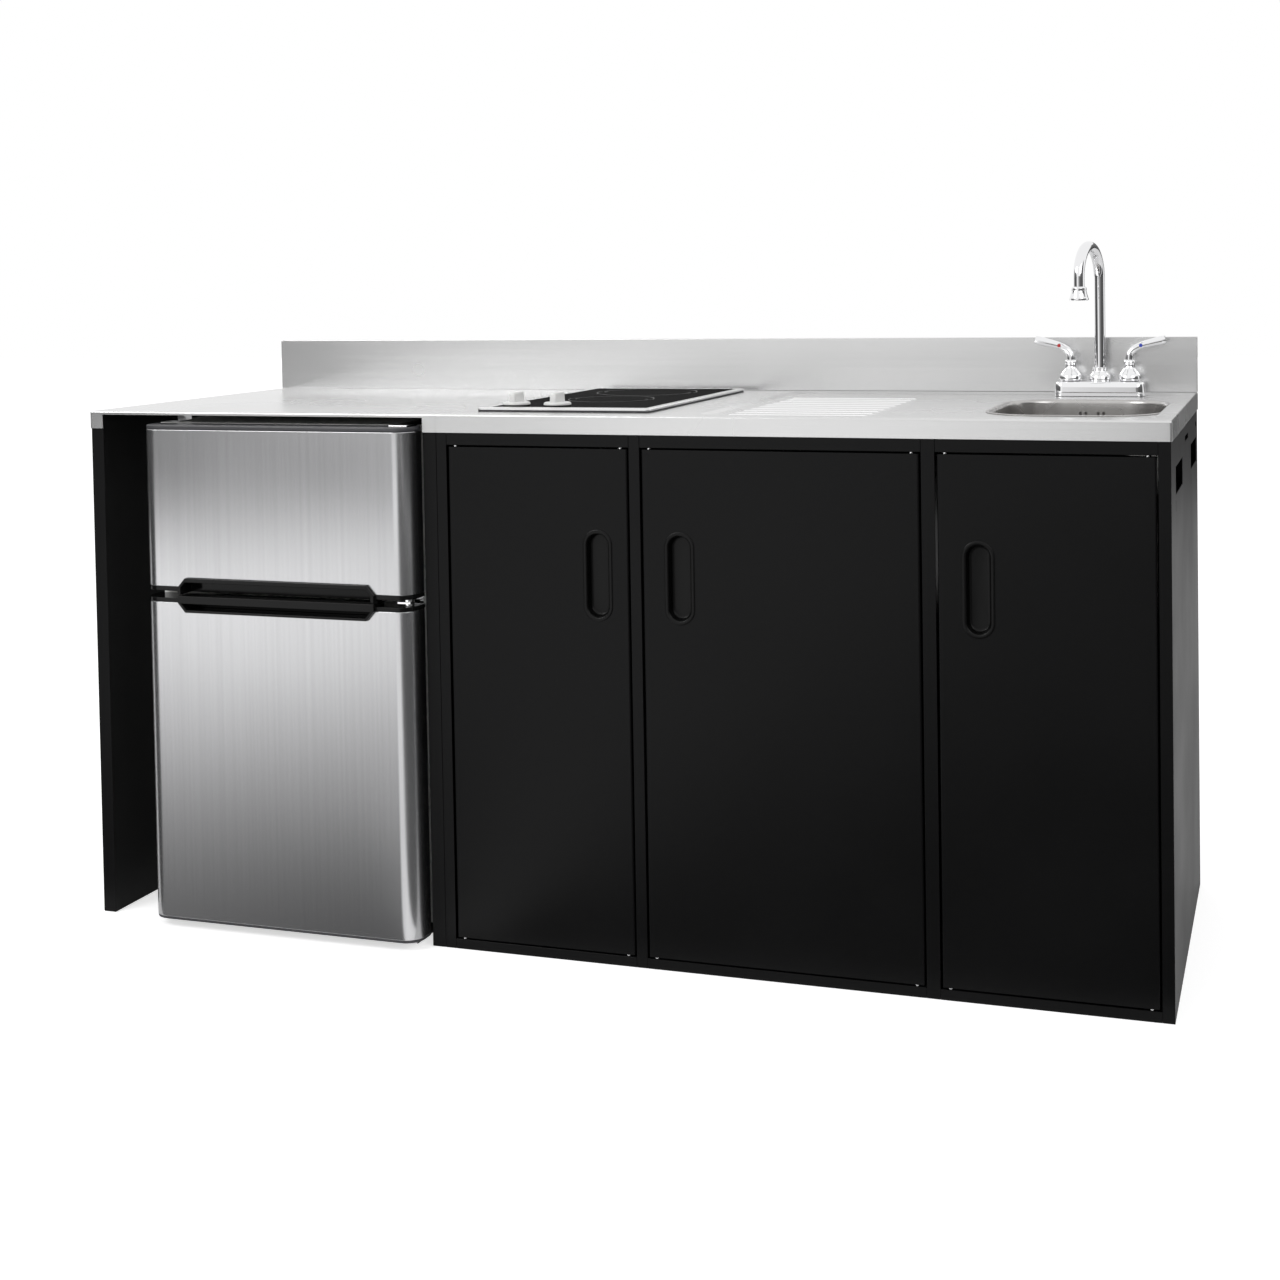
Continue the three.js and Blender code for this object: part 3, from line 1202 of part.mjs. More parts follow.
function makeFridge() {
  const fridge = group(unit, FRIDGE_LEFT, 0, 0);
  const width = [0, FRIDGE_WIDTH];
  const open = FRIDGE_CABINET_FRONT - CABINET_SKIN - 1;
  const inside = [LINER_SIDE, FRIDGE_WIDTH - LINER_SIDE];
  const chillerStep = NICHE_TOP + NICHE_WALL;
  const stepFront = NICHE_FRONT - NICHE_WALL;
  const niche = [NICHE_WALL / 2, FRIDGE_WIDTH - NICHE_WALL / 2];
  const outside = [
    width,
    [FRIDGE_CABINET_FRONT, FRIDGE_CABINET_BACK],
    [FRIDGE_CABINET_BOTTOM, FRIDGE_TOP],
  ];
  const rooms = [
    [inside, [open, FREEZER_BACK], [FREEZER_FLOOR, FREEZER_CEILING]],
    [inside, [open, CHILLER_BACK], [chillerStep, CHILLER_CEILING]],
    [inside, [open, stepFront], [CHILLER_FLOOR, chillerStep + 1]],
    [niche, [NICHE_FRONT, FRIDGE_CABINET_BACK + 5], [FRIDGE_CABINET_BOTTOM - 5, NICHE_TOP]],
  ];
  const grown = (box, by) => box.map(([low, high]) => [low - by, high + by]);
  const wallHollow = cut(
    block(...grown(outside, -CABINET_SKIN)),
    ...rooms.map((room) => block(...grown(room, CABINET_SKIN))),
  );
  const pipeHole = rod(8, [NICHE_TOP - 1, NICHE_TOP + 2 * CABINET_SKIN], [80, 480]);
  const shell = cut(block(...outside), ...rooms.map((room) => block(...room)), wallHollow, pipeHole);
  const shelfY = [FRIDGE_CABINET_FRONT + 36, CHILLER_BACK - 10];
  const ledges = [
    [inside[0] - 1, inside[0] + LEDGE],
    [inside[1] - LEDGE, inside[1] + 1],
  ].map((xs) => block(xs, shelfY, [SHELF_Z - LEDGE, SHELF_Z]));
  piece(fridge, "fridge_cabinet", union(shell, ...ledges), WHITE_PLASTIC);

  const shelf = block([inside[0] + SEAT, inside[1] - SEAT], shelfY, [
    SHELF_Z + SEAT,
    SHELF_Z + SEAT + SHELF_THICKNESS,
  ]);
  piece(fridge, "fridge_shelf", shelf, CLEAR_GLASS);
  const crisper = tray(
    [inside[0] + 20, inside[1] - 20],
    [FRIDGE_CABINET_FRONT + 36, stepFront - 10],
    [CHILLER_FLOOR + SEAT, CHILLER_FLOOR + SEAT + CRISPER_HEIGHT],
    2,
    "+z",
  );
  piece(fridge, "crisper_drawer", crisper, CLEAR_GLASS);

  const panY = [FRIDGE_CABINET_FRONT + 2, FRIDGE_CABINET_BACK - 2];
  const panBottom = FRIDGE_DOOR_BOTTOM;
  const pan = tray(width, panY, [panBottom, FRIDGE_CABINET_BOTTOM - SEAT], SHEET, "+z");
  const footX = [40, FRIDGE_WIDTH - 65];
  const footY = [panY[0] + 34, panY[1] - 34];
  const feet = footX.flatMap((x) =>
    footY.map((y) => rod(FOOT_RADIUS, [0, panBottom + SHEET / 2], [x, y])),
  );
  piece(fridge, "fridge_base_pan", union(pan, ...feet), BLACK_STEEL);

  const panFloor = panBottom + SHEET + SEAT;
  const compressor = turned(
    [
      [0, panFloor],
      [52, panFloor],
      [62, panFloor + 12],
      [64, panFloor + 60],
      [58, panFloor + 100],
      [36, panFloor + 122],
      [0, panFloor + 128],
    ],
    16,
    [150, (NICHE_FRONT + FRIDGE_CABINET_BACK) / 2],
  );
  piece(fridge, "compressor", compressor, BLACK_STEEL);

  const bracketX = [8, 36];
  const bracketY = FRIDGE_CABINET_FRONT + 40;
  const bracketZ = [FRIDGE_TOP + SEAT, PANEL_TOP];
  const bracket = union(
    block(bracketX, [FRIDGE_CABINET_FRONT + 4, bracketY], [bracketZ[0], bracketZ[0] + 2]),
    block(bracketX, [bracketY - 2, bracketY], bracketZ),
    block(bracketX, [bracketY - 1, bracketY + 34], [bracketZ[1] - 2, bracketZ[1]]),
  );
  piece(fridge, "fridge_top_bracket", bracket, CHROME);

  makeFridgeDoors(fridge);
  makeHinges(fridge);
}

makeWorktops();
makeBay();
makeSides();
makeFloorsAndRails();
makeRearPanel();
DOORS.forEach(makeDoor);
makeHob();
makeSink();
makeFaucet();
makeFridge();

export default unit;
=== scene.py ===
"""Looks of a kitchenette: steel worktops, black cabinets, a fridge, a glass hob and a sink.

Sizes are in millimetres in the unit frame: x from the left end, y from the front of the apron,
z from the floor. Each piece is placed in its mesh, and its object stays at the origin.
"""

import json
import math

import bmesh
import bpy
import numpy as np
from mathutils import Matrix, Vector

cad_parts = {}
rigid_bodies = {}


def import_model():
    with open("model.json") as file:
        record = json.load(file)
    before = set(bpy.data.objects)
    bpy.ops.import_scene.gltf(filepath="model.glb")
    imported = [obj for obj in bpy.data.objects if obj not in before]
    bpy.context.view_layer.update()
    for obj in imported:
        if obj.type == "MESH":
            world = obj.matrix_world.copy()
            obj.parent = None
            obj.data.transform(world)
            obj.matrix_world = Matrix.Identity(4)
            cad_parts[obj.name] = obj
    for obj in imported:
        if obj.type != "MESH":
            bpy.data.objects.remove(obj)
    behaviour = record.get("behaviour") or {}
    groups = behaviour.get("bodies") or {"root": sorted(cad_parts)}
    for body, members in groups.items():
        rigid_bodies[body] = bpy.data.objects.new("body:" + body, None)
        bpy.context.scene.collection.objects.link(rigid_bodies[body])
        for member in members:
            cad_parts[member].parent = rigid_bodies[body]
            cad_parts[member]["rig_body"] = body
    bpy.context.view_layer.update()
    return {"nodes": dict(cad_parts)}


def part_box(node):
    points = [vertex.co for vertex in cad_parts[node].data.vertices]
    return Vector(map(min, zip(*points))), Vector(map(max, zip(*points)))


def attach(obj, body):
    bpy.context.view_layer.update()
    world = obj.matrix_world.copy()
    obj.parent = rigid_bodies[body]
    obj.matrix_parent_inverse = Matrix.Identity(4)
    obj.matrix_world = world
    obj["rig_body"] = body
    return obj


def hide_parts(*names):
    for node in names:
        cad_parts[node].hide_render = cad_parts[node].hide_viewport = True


bl_info = {
    "name": "Kitchenette unit",
    "version": (1, 0, 0),
    "blender": (4, 5, 0),
    "location": "3D View > Sidebar > Kitchenette",
    "description": "Pieces and finishes of a kitchenette with a fridge, a hob and a sink",
    "category": "Object",
}

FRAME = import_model()
NODES = FRAME["nodes"]
CORNER = np.array([*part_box("left_worktop")[0][:2], 0.0])

# Where the fitted pieces stand in the unit frame.
WIDTH, DEPTH, TOP, DECK = 1829.0, 633.2, 876.0, 872.0
FRIDGE = np.array([126.0, 0.0, 0.0])
HOB = np.array([705.0, 62.0, TOP])
SINK = np.array([1665.0, 288.0, DECK])
FAUCET = np.array([1665.0, 582.0, DECK])

# Sizes of the hob, bowl, drainer, fridge bay, apron, faucet and fridge doors.
HOB_WIDTH, HOB_DEPTH = 305.0, 520.0
HOB_MIDDLE = np.array([HOB_WIDTH / 2, HOB_DEPTH / 2, 0.0])
BOWL_WIDTH, BOWL_LENGTH, BOWL_CORNER, BOWL_DROP = 264.0, 336.0, 85.0, 144.0
DRAIN = 92.0
RIDGE_FIRST, RIDGE_PITCH, RIDGE_COUNT = 80.0, 42.0, 10
RIDGE_ENDS = (1132.0, 1366.0)
BAY = (25.8, 638.0)
APRON = 30.0
VALVE = 51.0
SPOUT_RADIUS, SPOUT_TURN = 55.0, -12.0
FRIDGE_WIDTH, DOOR_FRONT, DOOR_BACK = 505.0, -38.0, 12.0
DOOR_MEETING, DOOR_TOP = 570.0, 856.0


# --- shapes as arrays
def patch(rows, wrap=True, close=False, caps=False):
    """Quads between neighbouring rows of a grid of points.

    wrap joins the ends of each row, close joins the last row to the first, and caps fill both.
    """
    rows = np.asarray(rows, dtype=float)
    count, width = rows.shape[:2]
    index = np.arange(count * width).reshape(count, width)
    lids = [index[0][::-1], index[-1]] if caps else []
    if close:
        index = np.vstack([index, index[:1]])
    if wrap:
        index = np.hstack([index, index[:, :1]])
    corners = [index[:-1, :-1], index[:-1, 1:], index[1:, 1:], index[1:, :-1]]
    return rows.reshape(-1, 3), np.stack(corners, axis=-1).reshape(-1, 4), lids


def turned(profile, centre=(0, 0, 0), segments=64, close=False):
    """A profile of (radius, height) points turned round an upright axis through the centre."""
    profile = np.asarray(profile, dtype=float)
    angle = np.linspace(0, 2 * np.pi, segments, endpoint=False)
    x = profile[:, :1] * np.cos(angle)
    y = profile[:, :1] * np.sin(angle)
    z = np.broadcast_to(profile[:, 1:], x.shape)
    return patch(np.stack([x, y, z], axis=-1) + np.asarray(centre), close=close)


def rings(width, depth, radius, z, steps=10):
    """Rectangles with round corners, one for each height.

    Each corner is a quarter circle about a point that lies its radius in from both sides.
    """
    sizes = (np.asarray(size, dtype=float) for size in (width, depth, radius, z))
    width, depth, radius, z = (np.atleast_1d(size)[:, None] for size in np.broadcast_arrays(*sizes))
    angle = (np.arange(4)[:, None] * np.pi / 2 + np.linspace(0, np.pi / 2, steps + 1)).ravel()
    side_x = np.repeat([1, -1, -1, 1], steps + 1)
    side_y = np.repeat([1, 1, -1, -1], steps + 1)
    x = side_x * (width / 2 - radius) + radius * np.cos(angle)
    y = side_y * (depth / 2 - radius) + radius * np.sin(angle)
    return np.stack([x, y, np.broadcast_to(z, x.shape)], axis=-1)


def curve(points, steps=8):
    """A smooth path: on each span the cubic whose end slopes are half the neighbours' spacing."""
    points = np.asarray(points, dtype=float)
    first, last = 2 * points[0] - points[1], 2 * points[-1] - points[-2]
    padded = np.vstack([first, points, last])
    a, b, c, d = padded[:-3], padded[1:-2], padded[2:-1], padded[3:]
    t = np.linspace(0, 1, steps, endpoint=False)[:, None, None]
    spans = b + (c - a) * t / 2 + (a - 2.5 * b + 2 * c - d / 2) * t**2
    spans = spans + (1.5 * b - a / 2 - 1.5 * c + d / 2) * t**3
    return np.vstack([spans.transpose(1, 0, 2).reshape(-1, points.shape[1]), points[-1:]])


def eased(points, reach, steps=4):
    """A polyline with soft corners: each is a parabola from reach before it to reach after it."""
    points = np.asarray(points, dtype=float)
    reach = np.broadcast_to(np.asarray(reach, dtype=float), len(points) - 2)[:, None]
    corner = points[1:-1]
    before, after = points[:-2] - corner, points[2:] - corner
    start = corner + before / np.linalg.norm(before, axis=1, keepdims=True) * reach
    end = corner + after / np.linalg.norm(after, axis=1, keepdims=True) * reach
    t = np.linspace(0, 1, steps + 1)[:, None, None]
    bends = (1 - t) ** 2 * start + 2 * t * (1 - t) * corner + t**2 * end
    bends = bends.transpose(1, 0, 2).reshape(-1, points.shape[1])
    return np.vstack([points[:1], bends, points[-1:]])


def swept(path, radius, across, sides=32, caps=True):
    """A tube: circles of the given radii, square to the path, whose plane has the normal across."""
    path = np.asarray(path, dtype=float)
    along = np.gradient(path, axis=0)
    along /= np.linalg.norm(along, axis=1, keepdims=True)
    across = np.asarray(across, dtype=float)
    out = np.cross(across, along)
    radius = np.broadcast_to(np.asarray(radius, dtype=float), len(path))[:, None, None]
    angle = np.linspace(0, 2 * np.pi, sides, endpoint=False)[:, None]
    circle = out[:, None] * np.cos(angle) + across * np.sin(angle)
    return patch(path[:, None] + radius * circle, caps=caps)


def slab(xs, ys, zs, edge=1.0, steps=3):
    """A box with rounded edges: round-cornered rectangles that draw in near both ends."""
    width, depth = xs[1] - xs[0], ys[1] - ys[0]
    angle = np.linspace(0, np.pi / 2, steps + 1)
    inset = edge * (1 - np.sin(angle))
    rise = edge * (1 - np.cos(angle))
    inset = np.concatenate([inset, inset[::-1]])
    height = np.concatenate([zs[0] + rise, (zs[1] - rise)[::-1]])
    radius = np.full_like(inset, 1.01 * edge) - 0.99 * inset
    loops = rings(width - 2 * inset, depth - 2 * inset, radius, height, steps)
    centre = np.array([sum(xs) / 2, sum(ys) / 2, 0])
    return patch(loops + centre, caps=True)


def prism(outline, low, high, axis):
    """An outline of two coordinates carried along the third axis from low to high."""
    outline = np.asarray(outline, dtype=float)
    spans = [np.insert(outline, axis, value, axis=1) for value in (low, high)]
    return patch(np.stack(spans), caps=True)


def moved(shell, offset, turn=0.0):
    """A shell turned by degrees about the upright axis and then moved."""
    points, quads, lids = shell
    c, s = math.cos(math.radians(turn)), math.sin(math.radians(turn))
    spin = np.array([[c, s, 0], [-s, c, 0], [0, 0, 1]])
    return points @ spin + np.asarray(offset), quads, lids


# --- meshes and pieces
def mesh_of(name, shells, recalculate=True):
    """One mesh from shells in unit-frame millimetres, with doubles merged and faces outward."""
    points, faces, start = [], [], 0
    for shell_points, quads, lids in shells:
        points.append(shell_points)
        faces += (quads + start).tolist() + [(lid + start).tolist() for lid in lids]
        start += len(shell_points)
    mesh = bpy.data.meshes.new(name)
    mesh.from_pydata((CORNER + np.vstack(points) / 1000).tolist(), [], faces)
    work = bmesh.new()
    work.from_mesh(mesh)
    bmesh.ops.remove_doubles(work, verts=work.verts, dist=2e-6)
    if recalculate:
        bmesh.ops.recalc_face_normals(work, faces=work.faces)
    work.to_mesh(mesh)
    work.free()
    return mesh


def soften(mesh, angle=35.0):
    """Smooth shading, with edges sharper than the angle kept."""
    mesh.shade_smooth()
    mesh.set_sharp_from_angle(angle=math.radians(angle))


def linked(name, mesh):
    obj = bpy.data.objects.new(name, mesh)
    bpy.context.scene.collection.objects.link(obj)
    return obj


def settle(obj):
    """Turns the modifiers of a piece into plain mesh."""
    bpy.context.view_layer.update()
    evaluated = obj.evaluated_get(bpy.context.evaluated_depsgraph_get())
    mesh = bpy.data.meshes.new_from_object(evaluated)
    obj.modifiers.clear()
    obj.data = mesh


def carve(obj, shells):
    """Cuts closed shells out of a piece."""
    tool = linked("cutter", mesh_of("cutter", shells))
    cut = obj.modifiers.new("Cut", "BOOLEAN")
    cut.operation, cut.solver, cut.object = "DIFFERENCE", "EXACT", tool
    settle(obj)
    bpy.data.objects.remove(tool)


def thicken(obj, thickness):
    """Gives an open sheet its metal, on the side away from its normals."""
    wall = obj.modifiers.new("Sheet", "SOLIDIFY")
    wall.thickness, wall.offset = thickness / 1000, -1.0


def round_edges(obj, width, segments=2, angle=30.0):
    """Rounds the edges that are sharper than the angle and keeps flat faces flat in shading."""
    if width > 0:
        bevel = obj.modifiers.new("Edges", "BEVEL")
        bevel.width, bevel.segments = width / 1000, segments
        bevel.limit_method, bevel.angle_limit = "ANGLE", math.radians(angle)
        bevel.use_clamp_overlap = True
    weigh = obj.modifiers.new("Flat faces", "WEIGHTED_NORMAL")
    weigh.keep_sharp = True


def place(obj, material, body, nodes=()):
    """Gives a piece its finish, body and place in the record."""
    obj.data.materials.clear()
    obj.data.materials.append(material)
    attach(obj, body)
    if nodes:
        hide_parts(*nodes)
    return obj


def piece(name, shells, material, body, nodes=(), angle=35.0, edge=0.0):
    """A finished piece from closed shells."""
    mesh = mesh_of(name, shells)
    soften(mesh, angle)
    obj = place(linked(name, mesh), material, body, nodes)
    if edge:
        round_edges(obj, edge)
    return obj


def dress(node, material, edge=0.5, segments=2, angle=32.0):
    """A copy of a CAD node with merged vertices, joined flat faces and rounded edges."""
    work = bmesh.new()
    work.from_mesh(NODES[node].data)
    bmesh.ops.remove_doubles(work, verts=work.verts, dist=1e-6)
    flat = {"verts": work.verts, "edges": work.edges}
    bmesh.ops.dissolve_limit(work, angle_limit=math.radians(0.5), **flat)
    mesh = bpy.data.meshes.new(node + "_dressed")
    work.to_mesh(mesh)
    work.free()
    soften(mesh, angle)
    obj = linked(node + "_dressed", mesh)
    place(obj, material, NODES[node]["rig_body"], [node])
    round_edges(obj, edge, segments, angle)
    return obj


# --- finishes
def add(tree, kind, values=None, **settings):
    """A node with its settings; a value that is a socket is linked."""
    made = tree.nodes.new(kind)
    for key, value in settings.items():
        setattr(made, key, value)
    for key, value in (values or {}).items():
        if isinstance(value, bpy.types.NodeSocket):
            tree.links.new(value, made.inputs[key])
        else:
            made.inputs[key].default_value = value
    return made


def new_group(name, inputs, outputs):
    """An empty node group with named sockets."""
    tree = bpy.data.node_groups.new(name, "ShaderNodeTree")
    for label, kind, value in inputs:
        socket = tree.interface.new_socket(label, in_out="INPUT", socket_type=kind)
        if value is not None:
            socket.default_value = value
    for label, kind in outputs:
        tree.interface.new_socket(label, in_out="OUTPUT", socket_type=kind)
    return tree, add(tree, "NodeGroupInput").outputs, add(tree, "NodeGroupOutput").inputs


def add_noise(tree, out, rows):
    """Noise for each row of an output's label, the position it reads, its scale and detail."""
    for label, position, scale, detail in rows:
        values = {"Vector": position, "Scale": scale, "Detail": detail}
        noise = add(tree, "ShaderNodeTexNoise", values)
        tree.links.new(noise.outputs["Fac"], out[label])


def grain_group():
    """Brushed grain: noise on a stretched position, fine lines and wider bands; soft patches."""
    if "Brushed grain" in bpy.data.node_groups:
        return bpy.data.node_groups["Brushed grain"]
    number, vector = "NodeSocketFloat", "NodeSocketVector"
    tree, given, out = new_group(
        "Brushed grain",
        [("Position", vector, None), ("Stretch", vector, (1, 1, 1)), ("Patch size", number, 3.0)],
        [("Lines", number), ("Bands", number), ("Patches", number)],
    )
    product = {0: given["Position"], 1: given["Stretch"]}
    stretched = add(tree, "ShaderNodeVectorMath", product, operation="MULTIPLY").outputs[0]
    rows = [
        ("Lines", stretched, 1.0, 2.0),
        ("Bands", stretched, 0.12, 3.0),
        ("Patches", given["Position"], given["Patch size"], 2.0),
    ]
    add_noise(tree, out, rows)
    return tree


def speckle_group():
    """Fine texture of paint and moulded plastic: small noise for height, larger for handling."""
    if "Fine texture" in bpy.data.node_groups:
        return bpy.data.node_groups["Fine texture"]
    number, vector = "NodeSocketFloat", "NodeSocketVector"
    tree, given, out = new_group(
        "Fine texture",
        [("Position", vector, None), ("Scale", number, 1500.0), ("Patch size", number, 4.0)],
        [("Height", number), ("Patches", number)],
    )
    rows = [
        ("Height", given["Position"], given["Scale"], 1.0),
        ("Patches", given["Position"], given["Patch size"], 3.0),
    ]
    add_noise(tree, out, rows)
    return tree


def blend_of(tree, factor, low, high):
    """A value between two for a factor around one half, as noise gives."""
    values = {0: factor, 1: 0.3, 2: 0.7, 3: low, 4: high}
    return add(tree, "ShaderNodeMapRange", values).outputs[0]


def tint(tree, factor, colour, spread):
    """The colour, darker and lighter by the spread as the factor goes round one half."""
    low = [channel * (1 - spread) for channel in colour[:3]] + [1]
    high = [min(1, channel * (1 + spread)) for channel in colour[:3]] + [1]
    level = blend_of(tree, factor, 0.0, 1.0)
    mixed = add(tree, "ShaderNodeMix", {"Factor": level}, data_type="RGBA")
    mixed.inputs[6].default_value, mixed.inputs[7].default_value = low, high
    return mixed.outputs[2]


def start_finish(name, **constants):
    """A material with its constants on the shader: its tree, shader and position socket."""
    material = bpy.data.materials.new(name)
    material.use_nodes = True
    tree = material.node_tree
    shader = tree.nodes["Principled BSDF"]
    for key, value in constants.items():
        shader.inputs[key.replace("_", " ")].default_value = value
    return material, tree, shader, add(tree, "ShaderNodeTexCoord").outputs["Object"]


def wear(tree, shader, shade, colour, spread, roughness):
    """The shade tints the colour, and its group's patches vary the roughness between two values."""
    tree.links.new(tint(tree, shade, colour, spread), shader.inputs["Base Color"])
    patches = shade.node.outputs["Patches"]
    tree.links.new(blend_of(tree, patches, *roughness), shader.inputs["Roughness"])


def bumps(tree, shader, height, depth):
    """Small relief from a height."""
    values = {"Strength": depth, "Distance": 0.0002, "Height": height}
    bump = add(tree, "ShaderNodeBump", values)
    tree.links.new(bump.outputs[0], shader.inputs["Normal"])


def brushed(name, colour, roughness, stretch, spread=0.05, depth=0.12, anisotropic=0.0):
    """Brushed metal: grain in colour, roughness and height."""
    if name in bpy.data.materials:
        return bpy.data.materials[name]
    material, tree, shader, position = start_finish(name, Metallic=1.0, Anisotropic=anisotropic)
    values = {"Position": position, "Stretch": stretch}
    grain = add(tree, "ShaderNodeGroup", values, node_tree=grain_group()).outputs
    wear(tree, shader, grain["Bands"], colour, spread, (roughness * 0.9, roughness * 1.12))
    bumps(tree, shader, grain["Lines"], depth)
    return material


def moulded(name, colour, roughness, scale=1500.0, depth=0.08, spread=0.08, **constants):
    """Paint, plastic, rubber or fibre: fine texture in height, handling in the roughness."""
    if name in bpy.data.materials:
        return bpy.data.materials[name]
    material, tree, shader, position = start_finish(name, **constants)
    values = {"Position": position, "Scale": scale}
    texture = add(tree, "ShaderNodeGroup", values, node_tree=speckle_group()).outputs
    wear(tree, shader, texture["Patches"], colour, spread, (roughness * 0.9, roughness * 1.1))
    bumps(tree, shader, texture["Height"], depth)
    return material


def colours():
    return bpy.context.scene.kitchenette_colours


def sizes():
    return bpy.context.scene.kitchenette_sizes


def worktop_steel():
    """Worktop steel: the crests of the drainer, marked in the mesh, get a painted highlight."""
    if "Worktop steel" in bpy.data.materials:
        return bpy.data.materials["Worktop steel"]
    material = brushed("Worktop steel", colours().worktop, 0.26, (9, 900, 900), 0.02)
    tree = material.node_tree
    shader = tree.nodes["Principled BSDF"]
    steel = shader.inputs["Base Color"].links[0].from_socket
    # Painted highlight: on the ridge crests the base colour is mixed towards near white, standing
    # in for the light they catch.
    crest_highlight = add(tree, "ShaderNodeAttribute", attribute_name="crest_highlight").outputs["Fac"]
    painted_highlight = add(tree, "ShaderNodeMix", {"Factor": crest_highlight, 6: steel}, data_type="RGBA")
    painted_highlight.inputs[7].default_value = colours().crest_highlight
    tree.links.new(painted_highlight.outputs[2], shader.inputs["Base Color"])
    return material


def door_steel():
    grain = (1400, 1400, 7)
    return brushed("Fridge door steel", colours().fridge_door, 0.22, grain, 0.03, 0.08, 0.7)


def bowl_steel():
    return brushed("Bowl steel", colours().bowl, 0.26, (300, 300, 20), 0.05)


def trim_steel():
    return brushed("Hob trim steel", colours().trim, 0.2, (40, 40, 40), 0.03, 0.04)


def chrome():
    return brushed("Chrome", colours().chrome, 0.04, (30, 30, 30), 0.01, 0.0)


def cabinet_black():
    look = {"Specular_IOR_Level": 0.16}
    return moulded("Black powder coat", colours().cabinet, 0.4, 1400.0, 0.1, 0.15, **look)


def gloss_black():
    look = {"Specular_IOR_Level": 0.16}
    return moulded("Gloss black plastic", colours().plastic, 0.12, 500.0, 0.02, **look)


def satin_black():
    look = {"Specular_IOR_Level": 0.2}
    return moulded("Satin black plastic", colours().cup, 0.36, 1600.0, 0.08, **look)


def cap_grey():
    return moulded("Dark grey plastic", colours().cap, 0.35, 1600.0, 0.08)


def white_liner():
    return moulded("White liner plastic", colours().liner, 0.35, 900.0, 0.04, 0.02)


def knob_white():
    return moulded("Silver white plastic", colours().knob, 0.3, 1500.0, 0.04, 0.03)


def rubber():
    return moulded("Gasket rubber", (0.045, 0.045, 0.048, 1), 0.7, 900.0, 0.1)


def fitting_grey():
    return moulded("Grey fitting plastic", (0.55, 0.55, 0.53, 1), 0.45, 1200.0, 0.06)


def element_fibre():
    return moulded("Element fibre", (0.7, 0.65, 0.55, 1), 0.9, 400.0, 0.4)


def hob_glass():
    """Black glass. Its glow, for mirrored rays only, stands for the room's light on its gloss."""
    if "Black hob glass" in bpy.data.materials:
        return bpy.data.materials["Black hob glass"]
    look = {"Specular_IOR_Level": 0.0, "Coat_Weight": 0.05, "Coat_Roughness": 0.02}
    material = moulded("Black hob glass", colours().glass, 0.08, 200.0, 0.0, 0.1, **look)
    shader = material.node_tree.nodes["Principled BSDF"]
    shader.inputs["Emission Color"].default_value = (1, 1, 1, 1)
    glow = ray_level(material.node_tree, 0.0, 0.75, 0.0)
    material.node_tree.links.new(glow, shader.inputs["Emission Strength"])
    return material


def ring_print():
    return moulded("Zone marking", colours().marking, 0.4, 800.0, 0.02)


def clear(name, colour, roughness):
    """Clear glass or plastic with a faint tint and soft patches in its roughness."""
    if name in bpy.data.materials:
        return bpy.data.materials[name]
    material, tree, shader, position = start_finish(name, Transmission_Weight=1.0, IOR=1.49)
    values = {"Position": position}
    texture = add(tree, "ShaderNodeGroup", values, node_tree=speckle_group()).outputs
    wear(tree, shader, texture["Patches"], colour, 0.03, (roughness, roughness * 1.6))
    return material


def enamel(name, colour):
    return moulded(name, colour, 0.25, 900.0, 0.02)


# --- values a user would change
def colour_of(label, words, default):
    look = {"size": 4, "min": 0.0, "max": 1.0, "subtype": "COLOR", "default": (*default, 1.0)}
    return bpy.props.FloatVectorProperty(name=label, description=words, **look)


def length_of(label, words, default):
    return bpy.props.FloatProperty(name=label, description=words, default=default, min=0.0)


class KitchenetteColours(bpy.types.PropertyGroup):
    worktop: colour_of("Worktop", "Brushed steel of the worktops", (0.7, 0.7, 0.7))
    # Colour of the painted highlight on the crests of the drainer's ridges.
    crest_highlight: colour_of("Crest highlights", "Bright crests of the drainer's ridges", (0.97, 0.97, 0.97))
    fridge_door: colour_of("Fridge doors", "Brushed steel of the doors", (0.58, 0.58, 0.59))
    bowl: colour_of("Bowl", "Steel of the sink bowl", (0.5, 0.49, 0.48))
    trim: colour_of("Hob trim", "Steel frame of the hob", (0.78, 0.78, 0.78))
    chrome: colour_of("Chrome", "Faucet and hinges", (0.86, 0.86, 0.87))
    cabinet: colour_of("Cabinets", "Black powder coat", (0.003, 0.003, 0.0032))
    plastic: colour_of("Black plastic", "Handles of the fridge", (0.005, 0.005, 0.005))
    cup: colour_of("Cups", "Satin black of the finger cups", (0.002, 0.002, 0.002))
    cap: colour_of("End caps", "Dark grey plastic of the freezer door", (0.05, 0.05, 0.055))
    liner: colour_of("Liner", "White inside of the fridge", (0.82, 0.82, 0.8))
    knob: colour_of("Knobs", "Knobs of the hob", (0.8, 0.8, 0.79))
    glass: colour_of("Hob glass", "Black ceramic glass", (0.004, 0.004, 0.004))
    marking: colour_of("Zone marks", "Printed rings on the glass", (0.12, 0.12, 0.12))
    hot: colour_of("Hot mark", "Mark on the left lever", (0.5, 0.03, 0.03))
    cold: colour_of("Cold mark", "Mark on the right lever", (0.04, 0.07, 0.45))


